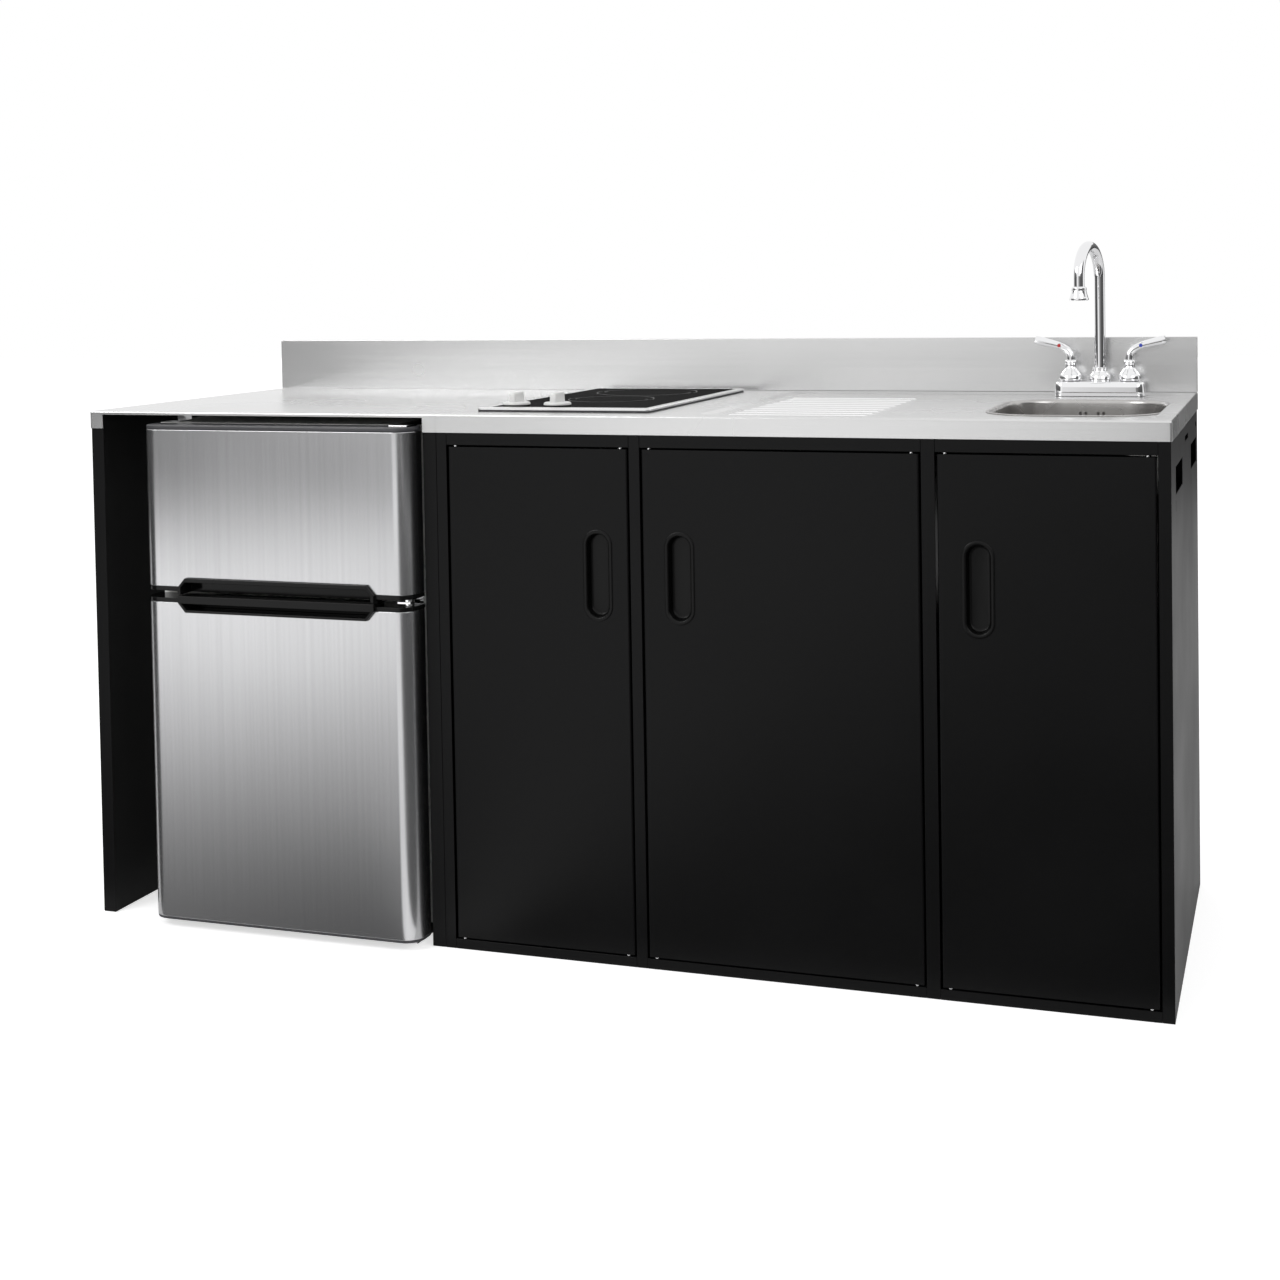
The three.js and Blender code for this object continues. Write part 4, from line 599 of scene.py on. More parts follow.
class KitchenetteSizes(bpy.types.PropertyGroup):
    fold: length_of("Fold", "Bend radius of the worktop's front edge, mm", 3.0)
    recess: length_of("Recess", "Depth of the pressed drainer area, mm", 4.0)
    step: length_of("Step", "Width of the slope round the pressed area, mm", 9.0)
    ridge: length_of("Ridge", "Height of a drainer ridge, mm", 2.0)
    ridge_width: length_of("Ridge width", "Width of a drainer ridge, mm", 16.0)
    sheet: length_of("Sheet", "Thickness of the worktop metal, mm", 1.5)
    door_radius: length_of("Door corner", "Rounding of the fridge doors, mm", 30.0)
    cap: length_of("Cap", "Height of the freezer door's top cap, mm", 7.0)
    mark: length_of("Mark", "Width of a printed ring on the hob, mm", 1.4)


# --- worktops
def spread(*spans):
    """Positions in spans of (start, end, count), joined without repeats."""
    return np.unique(np.round(np.concatenate([np.linspace(*span) for span in spans]), 4))


def deck_height(x, y):
    """Height over the main worktop.

    The recess falls by a smooth step of the distance inside a rectangle with round corners. A
    ridge is a squared cosine of the distance from a line along its middle.
    """
    size = sizes()
    centre, half, corner = (1450.0, 327.0), (353.0, 287.0), 25.0
    outside = np.abs(np.stack([x, y], axis=-1) - centre) - half + corner
    beyond = np.linalg.norm(np.maximum(outside, 0), axis=-1)
    inside = corner - beyond - np.minimum(outside.max(axis=-1), 0)
    level = np.clip((inside + 1) / size.step, 0, 1)
    return size.ridge * ridge_share(x, y) - size.recess * level**2 * (3 - 2 * level)


def ridge_share(x, y):
    """How high on a drainer ridge a place lies, from 0 on the deck to 1 along its middle."""
    half = sizes().ridge_width / 2
    line = np.clip(np.round((y - RIDGE_FIRST) / RIDGE_PITCH), 0, RIDGE_COUNT - 1)
    nearest = np.clip(x, RIDGE_ENDS[0] + half, RIDGE_ENDS[1] - half)
    reach = np.hypot(x - nearest, y - RIDGE_FIRST - RIDGE_PITCH * line)
    return np.cos(np.pi / 2 * np.clip(reach / half, 0, 1)) ** 2


def mark_crest_highlights(mesh):
    """Stores the ridge's share at each vertex, as the mask of the finish's painted crest highlight.
    """
    points = np.empty(3 * len(mesh.vertices))
    mesh.vertices.foreach_get("co", points)
    x, y, z = 1000 * (points.reshape(-1, 3) - CORNER).T
    share = np.clip(3 * ridge_share(x, y) - 1, 0, 1) * (z > DECK - 1)
    mesh.attributes.new("crest_highlight", "FLOAT", "POINT").data.foreach_set("value", share)


def folded_sheet(xs, ys, height, left, right, drop):
    """A sheet whose front, and one or both ends, fold down round a quarter circle.

    The flat is a height over x and y. The fold carries one profile along the border; at a
    corner the profile's direction turns about the border's corner point.
    """
    fold = sizes().fold
    x, y = np.meshgrid(xs, ys)
    flat = np.stack([x, y, TOP + height(x, y)], axis=-1)
    turn = np.linspace(0, np.pi / 2, 7)
    border = [np.stack([xs, np.full_like(xs, ys[0])], axis=1)]
    facing = [np.tile([0.0, -1.0], (len(xs), 1))]
    if left:
        border.insert(0, np.tile([xs[0], ys[0]], (len(turn), 1)))
        facing.insert(0, np.stack([-np.cos(turn), -np.sin(turn)], axis=1))
        border.insert(0, np.stack([np.full_like(ys, xs[0]), ys[::-1]], axis=1))
        facing.insert(0, np.tile([-1.0, 0.0], (len(ys), 1)))
    if right:
        border.append(np.tile([xs[-1], ys[0]], (len(turn), 1)))
        facing.append(np.stack([np.sin(turn), -np.cos(turn)], axis=1))
        border.append(np.stack([np.full_like(ys, xs[-1]), ys], axis=1))
        facing.append(np.tile([1.0, 0.0], (len(ys), 1)))
    border, facing = np.concatenate(border), np.concatenate(facing)
    out = np.append(fold * np.sin(turn), fold)[::-1, None, None]
    down = np.append(fold * (1 - np.cos(turn)), drop)[::-1, None]
    around = border + out * facing
    z = np.broadcast_to(TOP - down, around.shape[:2])
    return [patch(flat, wrap=False), patch(np.concatenate([around, z[..., None]], -1), wrap=False)]


def sheet_piece(name, shells, cutters, node):
    """A worktop from open shells, which get the sheet's thickness and then the holes."""
    obj = linked(name, mesh_of(name, shells, recalculate=False))
    thicken(obj, sizes().sheet)
    settle(obj)
    carve(obj, cutters)
    soften(obj.data, 40)
    place(obj, worktop_steel(), "unit", [node])
    obj.modifiers.new("Flat faces", "WEIGHTED_NORMAL").keep_sharp = True
    return obj


def make_left_worktop():
    """A flat sheet; its front fold is cut away over the fridge bay."""
    fold = sizes().fold
    xs = spread((fold, BAY[0], 3), (*BAY, 12), (BAY[1], 661.7, 3))
    ys = spread((fold, 60, 3), (60, DEPTH, 8))
    sheet = folded_sheet(xs, ys, lambda x, y: 0 * x, True, False, APRON)
    notch = rings(BAY[1] - BAY[0], 12, 1, (840, TOP - 6), 1) + [sum(BAY) / 2, 0, 0]
    sheet_piece("left_worktop_sheet", sheet, [patch(notch, caps=True)], "left_worktop")


def make_main_worktop():
    """A sheet with the pressed drainer, and holes for the hob, the bowl and the faucet.

    Its grid is closer where the recess and the ridges bend it.
    """
    fold = sizes().fold
    xs = spread(
        (662, 1095, 8),
        (1095, 1125, 16),
        (1125, 1152, 14),
        (1152, 1346, 8),
        (1346, 1370, 13),
        (1370, 1775, 14),
        (1775, 1805, 16),
        (1805, WIDTH - fold, 4),
    )
    ys = spread((fold, 38, 4), (38, 70, 17), (470, 584, 5), (584, 616, 17), (616, DEPTH, 3))
    middles = RIDGE_FIRST + RIDGE_PITCH * np.arange(RIDGE_COUNT)[:, None]
    ridges = middles + np.linspace(-1, 1, 13) * sizes().ridge_width / 2
    ys = np.unique(np.round(np.concatenate([ys, ridges.ravel()]), 4))
    sheet = folded_sheet(xs, ys, deck_height, False, True, APRON)
    low, high = DECK - 20, TOP + 20
    hob = rings(277, 492, 4, (low, high), 3) + [*(HOB + HOB_MIDDLE)[:2], 0]
    bowl = rings(BOWL_WIDTH + 8, BOWL_LENGTH + 8, BOWL_CORNER + 4, (low, high), 16)
    holes = [patch(hob, caps=True), patch(bowl + [*SINK[:2], 0], caps=True)]
    for side in (-VALVE, VALVE):
        hole = turned([(0, low), (8, low), (8, high), (0, high)])
        holes.append(moved(hole, (FAUCET[0] + side, FAUCET[1], 0)))
    top = sheet_piece("main_worktop_sheet", sheet, holes, "main_worktop")
    # The mask of the painted highlight on the ridge crests.
    mark_crest_highlights(top.data)


def make_worktops():
    make_left_worktop()
    make_main_worktop()
    dress("backsplash", worktop_steel(), 1.2, 3)


# --- cabinets and bay
PANELS = (
    "left_side_panel",
    "bay_right_panel",
    "bay_rear_rail",
    "cabinet_one_left_side",
    "cabinet_one_right_side",
    "cabinet_three_left_side",
    "right_side_panel",
    "cabinet_one_floor",
    "cabinet_one_top_rail",
    "centre_floor",
    "centre_top_rail",
    "cabinet_three_floor",
    "cabinet_three_top_rail",
    "rear_panel",
)

CUP_WIDTH, CUP_HEIGHT, CUP_MIDDLE = 49.0, 146.0, 622.0
STUD_INSET, STUD_RADIUS, STUD_BACK = 12.0, 3.4, 6.2
STUD_SPANS = {"lower": (16.4, 18.6), "upper": (823.4, 825.6)}

# For each door: its left and right edge and the middle of its cup in x.
DOORS = {
    "door_one": (683.0, 992.7, 940.7),
    "door_two": (1016.7, 1459.0, 1077.7),
    "door_three": (1486.0, 1806.2, 1547.0),
}


def make_panels():
    for node in PANELS:
        dress(node, cabinet_black(), 0.5)


def obround(width, height, y, steps=16):
    """Upright obrounds in the plane of a door, one for each y, from rectangles with round ends."""
    width = np.asarray(width, dtype=float)
    flat = rings(width, height, width / 2 - 0.01, y, steps)
    return flat[:, :, [0, 2, 1]]


def make_cup(name, x):
    """The cup: rows of (inset, depth), from the rim's edge into the pocket, then behind it."""
    front = [(0.3, 1.5), (0, 1.2), (0, 0.9), (0.6, 0.5), (2.0, 0.3), (4.2, 0.3), (5.6, 0.7)]
    front += [(6.4, 1.8), (7.2, 4.0), (7.6, 11.0), (8.2, 13.6), (10.0, 15.0), (13.0, 15.3)]
    back = [(13.0, 16.8), (7.5, 16.8), (6.1, 14.0), (6.1, 1.5)]
    inset, depth = np.array(front + back).T
    points = obround(CUP_WIDTH - 2 * inset, CUP_HEIGHT - 2 * inset, depth)
    points = points + np.array([x, 0, CUP_MIDDLE])
    middles = np.broadcast_to(points.mean(axis=1, keepdims=True), points.shape)
    count = len(front)
    front_skin = np.concatenate([points[:count], middles[count - 1 : count]])
    back_skin = np.concatenate([middles[count : count + 1], points[count:], points[:1]])
    shells = [patch(front_skin), patch(back_skin)]
    piece(name + "_cup_moulding", shells, satin_black(), name, [name + "_cup"], angle=50)


def make_doors():
    for name, (left, right, cup) in DOORS.items():
        dress(name, cabinet_black(), 0.5)
        make_cup(name, cup)
        for side, x in (("left", left + STUD_INSET), ("right", right - STUD_INSET)):
            for level, (low, high) in STUD_SPANS.items():
                profile = [(0, low), (STUD_RADIUS, low), (STUD_RADIUS, high), (0, high)]
                shells = [turned(eased(profile, 0.3, 2), (x, STUD_BACK, 0), 24)]
                label = f"{name}_{side}_{level}_stud"
                piece(label, shells, chrome(), "unit")


# --- hob
def make_hob_frame():
    """The trim: rows of (inset, height) over its top and back underneath.

    It is wider at the front than at the back, so its inner rows are shorter and further back.
    """
    side, front, back = 16.0, 28.0, 12.0
    rows = [(3.0, 2.4), (1.2, 2.4), (0.2, 3.0), (0.0, 3.8), (0.3, 5.0), (1.4, 6.0), (3.4, 6.3)]
    rows += [(12.0, 6.3), (15.0, 6.1), (16.0, 5.4), (16.2, 4.0), (16.2, 2.0), (20.9, 1.9)]
    inset, height = np.array([*rows, (20.9, 0.8), (3.0, 0.8)]).T
    share, inner = inset / side, inset > side
    depth = HOB_DEPTH - (front + back) * share * (inset > 0.4)
    depth = np.where(inner, HOB_DEPTH - front - back - 2 * (inset - side), depth)
    radius = np.maximum(8 - inset, 0.6)
    loops = rings(HOB_WIDTH - 2 * inset, depth, radius, height, 8) + HOB_MIDDLE
    loops[:, :, 1] += ((front - back) / 2 * np.where(inner, 1, share))[:, None]
    shells = [patch(loops + HOB, close=True)]
    piece("hob_frame_trim", shells, trim_steel(), "unit", ["hob_frame"], angle=50)


def make_hob():
    make_hob_frame()
    strip = [(2.2, 0.05), (1.2, 0.3), (1.2, 2.2), (2.2, 2.35), (9, 2.35), (9, 0.05)]
    inset, height = np.array(strip).T
    seal = rings(HOB_WIDTH - 2 * inset, HOB_DEPTH - 2 * inset, 8 - inset / 2, height, 8)
    shells = [patch(seal + HOB_MIDDLE + HOB, close=True)]
    piece("hob_seal", shells, rubber(), "unit")

    dress("hob_glass", hob_glass(), 0.4)
    make_zone("front_zone_mark", 223.0, 75.0)
    make_zone("rear_zone_mark", 403.0, 92.0)
    for side, x in (("left", 43.0), ("right", 117.0)):
        make_knob(side, x)
        dress(side + "_regulator", satin_black(), 0.4)
    dress("hob_tray", trim_steel(), 0.5)
    for node in ("front_element", "rear_element"):
        dress(node, element_fibre(), 0.5)


def make_zone(name, y, radius):
    """A printed ring: two arcs with a pair of chevrons at each end of the cross line."""
    width, low, high = sizes().mark, 6.2, 6.27
    gap = math.radians(9)
    shells = []
    for start in (0, math.pi):
        angle = np.linspace(start + gap, start + math.pi - gap, 49)
        way = np.stack([np.cos(angle), np.sin(angle)], axis=1)
        inner, outer = way * (radius - width), way * radius
        corners = [(inner, low), (outer, low), (outer, high), (inner, high)]
        section = [np.column_stack([line, np.full(len(line), z)]) for line, z in corners]
        shells.append(patch(np.stack(section, axis=1), caps=True))
    for side in (-1, 1):
        for tip in (radius - 9, radius + 3):
            arms = [(tip - 5, -6), (tip - 3.4, -6), (tip + 1.6, 0), (tip - 3.4, 6), (tip - 5, 6)]
            outline = np.array([*arms, (tip, 0)]) * [side, 1]
            shells.append(prism(outline, low, high, 2))
    shells = [moved(shell, HOB + [HOB_WIDTH / 2, y, 0]) for shell in shells]
    piece(name, shells, ring_print(), "unit")


def make_knob(side, x):
    """A dished flange turned round the shaft, with an upright grip that narrows and crowns."""
    flange = curve([(19, 0), (22.6, 0.4), (23, 2.2), (21.6, 4.4), (17, 5.4), (9, 6.0), (0, 6.2)], 5)
    flange = np.vstack([[(0, 0)], flange])
    angle = np.linspace(0, np.pi / 2, 6)
    height = np.concatenate([[3.0], 17.5 + 3.5 * np.sin(angle)])
    draw = np.concatenate([[0.0], 0.8 + 3.5 * (1 - np.cos(angle))])
    grip = rings(13 - 1.4 * draw, 40 - 2 * draw, 3.5 - 0.3 * draw, height, 6)
    place_at = HOB + [x, 68, 6.75]
    shells = [moved(turned(flange), place_at), moved(patch(grip, caps=True), place_at)]
    piece(side + "_knob_cap", shells, knob_white(), side + "_knob", [side + "_knob"], angle=40)


# --- sink
def make_bowl():
    """One skin: rows of (growth, height) down the tapered wall, a round foot, then the drain."""
    wall = [(5.4, 0.15), (5.0, 0.4), (4.2, 0.55), (3.0, 0.5), (1.8, 0.0), (0.8, -1.2), (0.2, -3.0)]
    grow, height = np.array([*wall, (0.0, -5.0), (-0.3, -14.0), (-2.0, -64.0)]).T
    foot, taper = 25.0, 4.0
    turn = np.linspace(0, np.pi / 2, 10)
    grow = np.concatenate([grow, foot * np.cos(turn) - foot - taper])
    height = np.concatenate([height, foot - BOWL_DROP - foot * np.sin(turn)])
    width, depth, corner = BOWL_WIDTH + 2 * grow, BOWL_LENGTH + 2 * grow, BOWL_CORNER + grow
    inward = np.linspace(0, 1, 8)[1:]
    width = np.append(width, width[-1] + (DRAIN - width[-1]) * inward)
    depth = np.append(depth, depth[-1] + (DRAIN - depth[-1]) * inward)
    corner = np.append(corner, corner[-1] + (DRAIN / 2 - corner[-1]) * inward)
    height = np.append(height, -BOWL_DROP - 1.5 * inward)
    loops = rings(width, depth, corner, height, 20) + SINK
    bowl = linked("sink_bowl_skin", mesh_of("sink_bowl_skin", [patch(loops)], recalculate=False))
    bowl.data.flip_normals()
    thicken(bowl, sizes().sheet)
    settle(bowl)
    slots = [slab((x - 2, x + 2), (155, 180), (-41, -19), 0.8) for x in (-19.5, -10.5, 10.5, 19.5)]
    carve(bowl, [moved(slot, SINK) for slot in slots])
    soften(bowl.data, 40)
    place(bowl, bowl_steel(), "unit", ["sink_bowl"])


def make_sink():
    make_bowl()
    head = curve([(4.2, 0), (4.2, 0.6), (3.2, 1.7), (0, 2.2)], 4)
    points, quads, lids = turned(np.vstack([[(0, 0)], head]), segments=24)
    screw = points[:, [0, 2, 1]] * [1, -1, 1] + [0, 167.3, -30], quads, lids
    piece("overflow_screw", [moved(screw, SINK)], chrome(), "unit")

    dress("overflow_box", bowl_steel(), 0.4)
    make_strainer()
    dress("drain_tailpiece", chrome(), 0.6)
    dress("drain_trap", chrome(), 0.6)


def make_strainer():
    """The strainer's body, and the basket in it with ten holes and a turned knob."""
    body = [(18, -204), (21, -204), (21, -189), (43.5, -189), (43.5, -144.9), (56, -144.9)]
    body += [(56, -143.4), (42, -143.4), (42, -187.5), (18, -187.5), (18, -204)]
    body = eased(body, 0.6, 2)[:-1]
    shell = turned(body, SINK, 72, close=True)
    piece("strainer_cup", [shell], bowl_steel(), "unit", ["strainer_body"], angle=40)

    cup = [(0, -187.2), (40.5, -187.2), (40.5, -147.9), (39, -147.9), (39, -185.7), (0, -185.7)]
    knob = [(0, -184), (2.6, -180), (2.6, -164), (7.4, -160), (8, -154), (5, -151), (0, -150.9)]
    name = "strainer_basket_cup"
    basket = linked(name, mesh_of(name, [turned(eased(cup, 0.6, 2), SINK, 72)]))
    away = np.tile([0.42, 0.72], 5) * 40.5
    angle = np.arange(10) * np.pi / 5
    rod = [(0, -190), (3, -190), (3, -183), (0, -183)]
    places = zip(away * np.cos(angle), away * np.sin(angle))
    carve(basket, [turned(rod, SINK + [x, y, 0], 16) for x, y in places])
    soften(basket.data, 40)
    place(basket, bowl_steel(), "strainer_basket", ["strainer_basket"])
    grip = turned(curve(knob, 5), SINK, 32)
    piece("strainer_basket_knob", [grip], chrome(), "strainer_basket")


# --- faucet
def make_faucet():
    """The base, with its collar, posts and shanks, then the spout and the two levers."""
    shrink = np.array([1.2, 0.2, 0, 0, 0.4, 1.0, 2.0, 3.2, 5.0, 7.5, 10.0])
    height = np.array([0.3, 0.8, 2.0, 8.0, 16.0, 21.0, 23.4, 24.9, 25.7, 26.0, 26.1])
    radius = 15 - 0.6 * shrink
    plinth = patch(rings(156 - 2 * shrink, 50 - 2 * shrink, radius, height, 10), caps=True)
    bell = [(18.5, 25.5), (19.2, 28), (19.4, 31), (17.8, 36.5), (14.6, 41), (12.8, 45), (13.4, 48)]
    bell = curve([*bell, (13.2, 49.6), (11.5, 50.2), (9.7, 50.2)], 5)
    collar = np.vstack([[(0, 25.5)], bell, [(9.6, 30), (0, 30)]])
    post = [(0, 25), (6, 25), (6, 45), (5.4, 46), (0, 46)]
    shank = [(0, -45), (6.5, -45), (6.5, 1), (0, 1)]
    shells = [plinth, turned(collar)]
    for side in (-VALVE, VALVE):
        shells += [turned(post, (side, 0, 0), 32), turned(shank, (side, 0, 0), 32)]
    shells = [moved(shell, FAUCET) for shell in shells]
    piece("faucet_body", shells, chrome(), "unit", ["faucet_base"], angle=40)
    for node in ("hot_nut", "cold_nut"):
        dress(node, fitting_grey(), 0.5)

    make_spout()
    make_lever("hot_lever", -VALVE, 0, colours().hot)
    make_lever("cold_lever", VALVE, 180, colours().cold)


def make_spout():
    """The gooseneck, swept up a post and along a half circle, and the outlet on its end."""
    turn = np.linspace(0, np.pi, 49)
    reach = 2 * SPOUT_RADIUS
    y, z = SPOUT_RADIUS * (np.cos(turn) - 1), 207.5 + SPOUT_RADIUS * np.sin(turn)
    rise = [(0, 0, height) for height in (30.4, 90, 150, 200)]
    arch = np.stack([0 * turn, y, z], axis=1)
    path = np.vstack([rise, arch, [(0, -reach, 195), (0, -reach, 182)]])
    spout = moved(swept(path, 9.5, (1, 0, 0), 40), FAUCET, SPOUT_TURN)
    piece("gooseneck", [spout], chrome(), "spout", ["faucet_spout"], angle=40)
    skirt = [(7.5, 170), (15.6, 170), (16.5, 170.8), (16.5, 173.5), (15.4, 175.5), (13.6, 182)]
    skirt += [(12.6, 187), (12.9, 188.5), (12.9, 191), (12.0, 192.5), (9.9, 194), (9.9, 181.7)]
    skirt = eased([*skirt, (7.5, 181.7), (7.5, 170)], 0.5, 3)[:-1]
    tip = moved(turned(skirt, (0, -reach, 0), 64, close=True), FAUCET, SPOUT_TURN)
    piece("aerator_skirt", [tip], chrome(), "spout", ["faucet_aerator"], angle=40)
    screen = [(0, 172), (7.4, 172), (7.4, 174), (0, 174)]
    screen = moved(turned(screen, (0, -reach, 0), 32), FAUCET, SPOUT_TURN)
    piece("aerator_screen", [screen], fitting_grey(), "spout")


def make_lever(name, x, turn, mark):
    """A turned bell with a bent arm, and a coloured dot on the arm's front."""
    bell = [(17.5, 26.6), (19.6, 28.6), (20, 32), (18.6, 37), (15, 42.5), (11, 47.5), (9.2, 53)]
    bell = curve([*bell, (9.8, 57), (10.4, 59), (9.4, 62), (7, 64), (0, 65)], 5)
    bell = np.vstack([[(0, 26.6)], bell])
    path = [(0, 0, 56), (0, 0, 70), (-5, 0, 80), (-17, 0, 87.5), (-36, 0, 93), (-62, 0, 99)]
    path = curve(path, 8)
    share = np.linspace(0, 1, len(path))
    radius = np.interp(share, [0, 0.3, 0.6, 0.96, 1], [7.4, 6.2, 6.0, 7.8, 7.0])
    arm = swept(path, radius, (0, 1, 0), 32)
    shells = [moved(shell, FAUCET + [x, 0, 0], turn) for shell in (turned(bell), arm)]
    piece(name + "_cast", shells, chrome(), name, [name], angle=40)
    dot = curve([(3.2, 0), (3.0, 0.6), (1.6, 1.0), (0, 1.1)], 3)
    points, quads, lids = turned(dot, segments=20)
    along = 20.0 if turn else -20.0
    points = points[:, [0, 2, 1]] * [1, -1, 1] + [along, -5.7, 89.0]
    dot = moved((points, quads, lids), FAUCET + [x, 0, 0])
    piece(name + "_mark", [dot], enamel(name + " mark", mark), name)


# --- fridge
def door_plan(inset, z, steps=14):
    """The outline of a fridge door at each height: two large round corners at the front."""
    inset, z = (np.asarray(values, dtype=float)[:, None] for values in (inset, z))
    radius = sizes().door_radius - inset
    back = np.maximum(2.5 - inset, 0.3)
    left, right, front, rear = inset, FRIDGE_WIDTH - inset, DOOR_FRONT + inset, DOOR_BACK - inset
    angle = np.linspace(0, np.pi / 2, steps + 1)
    c, s = np.cos(angle), np.sin(angle)
    corners = [
        (right - radius + radius * s, front + radius - radius * c),
        (right - back + back * c, rear - back + back * s),
        (left + back - back * s, rear - back + back * c),
        (left + radius - radius * c, front + radius - radius * s),
    ]
    x, y = (np.concatenate([corner[i] for corner in corners], axis=1) for i in (0, 1))
    return np.stack([x, y, np.broadcast_to(z, x.shape)], axis=-1)


def door_slab(low, high, edge, shrink=0.0):
    """A door: its outline at each height, drawn in round both ends by a quarter circle."""
    angle = np.linspace(0, np.pi / 2, 5)
    inset = edge * (1 - np.sin(angle)) + shrink
    rise = edge * (1 - np.cos(angle))
    heights = np.concatenate([low + rise, (high - rise)[::-1]])
    return moved(patch(door_plan(np.append(inset, inset[::-1]), heights), caps=True), FRIDGE)


def notch_outline(up):
    """The notch for a grip in x and z: upright past the end cap, then sloping inwards.

    It is the same on both sides of the grip's middle, and up is 1 or -1, for the door above or
    below the place where they meet.
    """
    clear, middle = 0.9, 256.5
    left = [(72 - clear, 0.0), (72 - clear, 13.0), (86.3 - clear, 29.3)]
    right = [(2 * middle - x, depth) for x, depth in left[::-1]]
    return np.array([(x, DOOR_MEETING + up * depth) for x, depth in left + right])


def make_fridge_doors():
    cap = sizes().cap
    doors = {
        "freezer_door": (583.3, DOOR_TOP - cap - 0.4, 1),
        "fridge_door": (18.4, 556.7, -1),
    }
    for name, (low, high, up) in doors.items():
        mesh = mesh_of(name + "_skin", [door_slab(low, high, 1.2)])
        door = linked(name + "_skin", mesh)
        cutter = prism(notch_outline(up), -45, -7.6, 1)
        carve(door, [moved(cutter, FRIDGE)])
        soften(door.data, 40)
        place(door, door_steel(), name, [name])
        door.modifiers.new("Flat faces", "WEIGHTED_NORMAL").keep_sharp = True
    for node in ("freezer_handle", "fridge_handle"):
        dress(node, gloss_black(), 1.5, 3)
    top = door_slab(DOOR_TOP - cap, DOOR_TOP - 0.1, 2.0, 0.3)
    piece("freezer_door_top_cap", [top], cap_grey(), "freezer_door")
    bottom = door_slab(14.1, 18.0, 1.0, 0.6)
    piece("fridge_door_bottom_cap", [bottom], cap_grey(), "fridge_door")
    for node in ("freezer_gasket", "fridge_gasket"):
        dress(node, rubber(), 2.0, 3)
    for name, low, high in (("freezer_door", 604, 830), ("fridge_door", 42, 536)):
        make_liner(name, low, high)


def make_liner(name, low, high):
    """The moulded inside of a door: rows of (inset, depth) towards the shelves."""
    inset, y = np.array([(0.0, 12.3), (0.3, 16.0), (1.4, 18.8), (3.4, 20.4), (7.0, 21.2)]).T
    loops = rings(450 - 2 * inset, high - low - 2 * inset, 14 - inset / 2, y, 8)
    loops = loops[:, :, [0, 2, 1]] + [FRIDGE_WIDTH / 2, 0, (low + high) / 2]
    shell = moved(patch(loops, caps=True), FRIDGE)
    piece(name + "_liner", [shell], white_liner(), name, angle=45)


def make_fridge_body():
    dress("fridge_cabinet", white_liner(), 1.0, 2)
    dress("fridge_shelf", clear("Shelf glass", (0.9, 0.96, 0.94, 1), 0.02), 0.8)
    dress("crisper_drawer", clear("Crisper plastic", (0.93, 0.95, 0.96, 1), 0.08), 0.6)
    dress("fridge_base_pan", cabinet_black(), 0.5)
    dress("compressor", satin_black(), 1.0)
    for node in ("top_hinge", "middle_hinge", "bottom_hinge", "fridge_top_bracket"):
        dress(node, chrome(), 0.5)


# --- stage
def ray_level(tree, camera, seen, other):
    """A strength for what the camera sees, what metal and glass see, and all other light."""
    rays = add(tree, "ShaderNodeLightPath").outputs
    shiny = {0: rays["Is Glossy Ray"], 1: rays["Is Transmission Ray"]}
    shiny = add(tree, "ShaderNodeMath", shiny, operation="MAXIMUM").outputs[0]
    inner = add(tree, "ShaderNodeMix", {"Factor": shiny})
    inner.inputs[2].default_value, inner.inputs[3].default_value = other, seen
    outer = add(tree, "ShaderNodeMix", {"Factor": rays["Is Camera Ray"]})
    tree.links.new(inner.outputs[0], outer.inputs[2])
    outer.inputs[3].default_value = camera
    return outer.outputs[0]


def make_world():
    """White all round; pieces that don't mirror it get a little less of its light."""
    world = bpy.data.worlds.new("Studio")
    bpy.context.scene.world = world
    world.use_nodes = True
    tree = world.node_tree
    background = tree.nodes["Background"]
    background.inputs["Color"].default_value = (1, 1, 1, 1)
    tree.links.new(ray_level(tree, 1.0, 1.0, 0.7), background.inputs["Strength"])


def stage_plane(name, corners, material):
    """A flat face of the stage, which isn't part of the unit."""
    mesh = bpy.data.meshes.new(name)
    mesh.from_pydata(corners, [], [tuple(range(len(corners)))])
    mesh.materials.append(material)
    plane = linked(name, mesh)
    return plane


def make_floor():
    """A pale floor whose glow hides its far edge from the camera; contact shadows stay."""
    material, tree, shader, position = start_finish("Studio floor", Roughness=0.9)
    soft = add(tree, "ShaderNodeTexNoise", {"Vector": position, "Scale": 0.4, "Detail": 1.0})
    colour = tint(tree, soft.outputs["Fac"], (0.86, 0.86, 0.86), 0.01)
    tree.links.new(colour, shader.inputs["Base Color"])
    shader.inputs["Specular IOR Level"].default_value = 0.0
    shader.inputs["Emission Color"].default_value = (1, 1, 1, 1)
    tree.links.new(ray_level(tree, 0.6, 0.1, 0.0), shader.inputs["Emission Strength"])
    z = -0.0006
    stage_plane("floor", [(-20, -20, z), (20, -20, z), (20, 20, z), (-20, 20, z)], material)


def card_material(name, level):
    """A glow whose strength the level function works out from the place on the card."""
    material = bpy.data.materials.new(name)
    material.use_nodes = True
    tree = material.node_tree
    tree.nodes.remove(tree.nodes["Principled BSDF"])
    place_at = add(tree, "ShaderNodeTexCoord").outputs["Object"]
    shine = add(tree, "ShaderNodeEmission", {"Strength": level(tree, place_at)})
    tree.links.new(shine.outputs[0], tree.nodes["Material Output"].inputs[0])
    return material


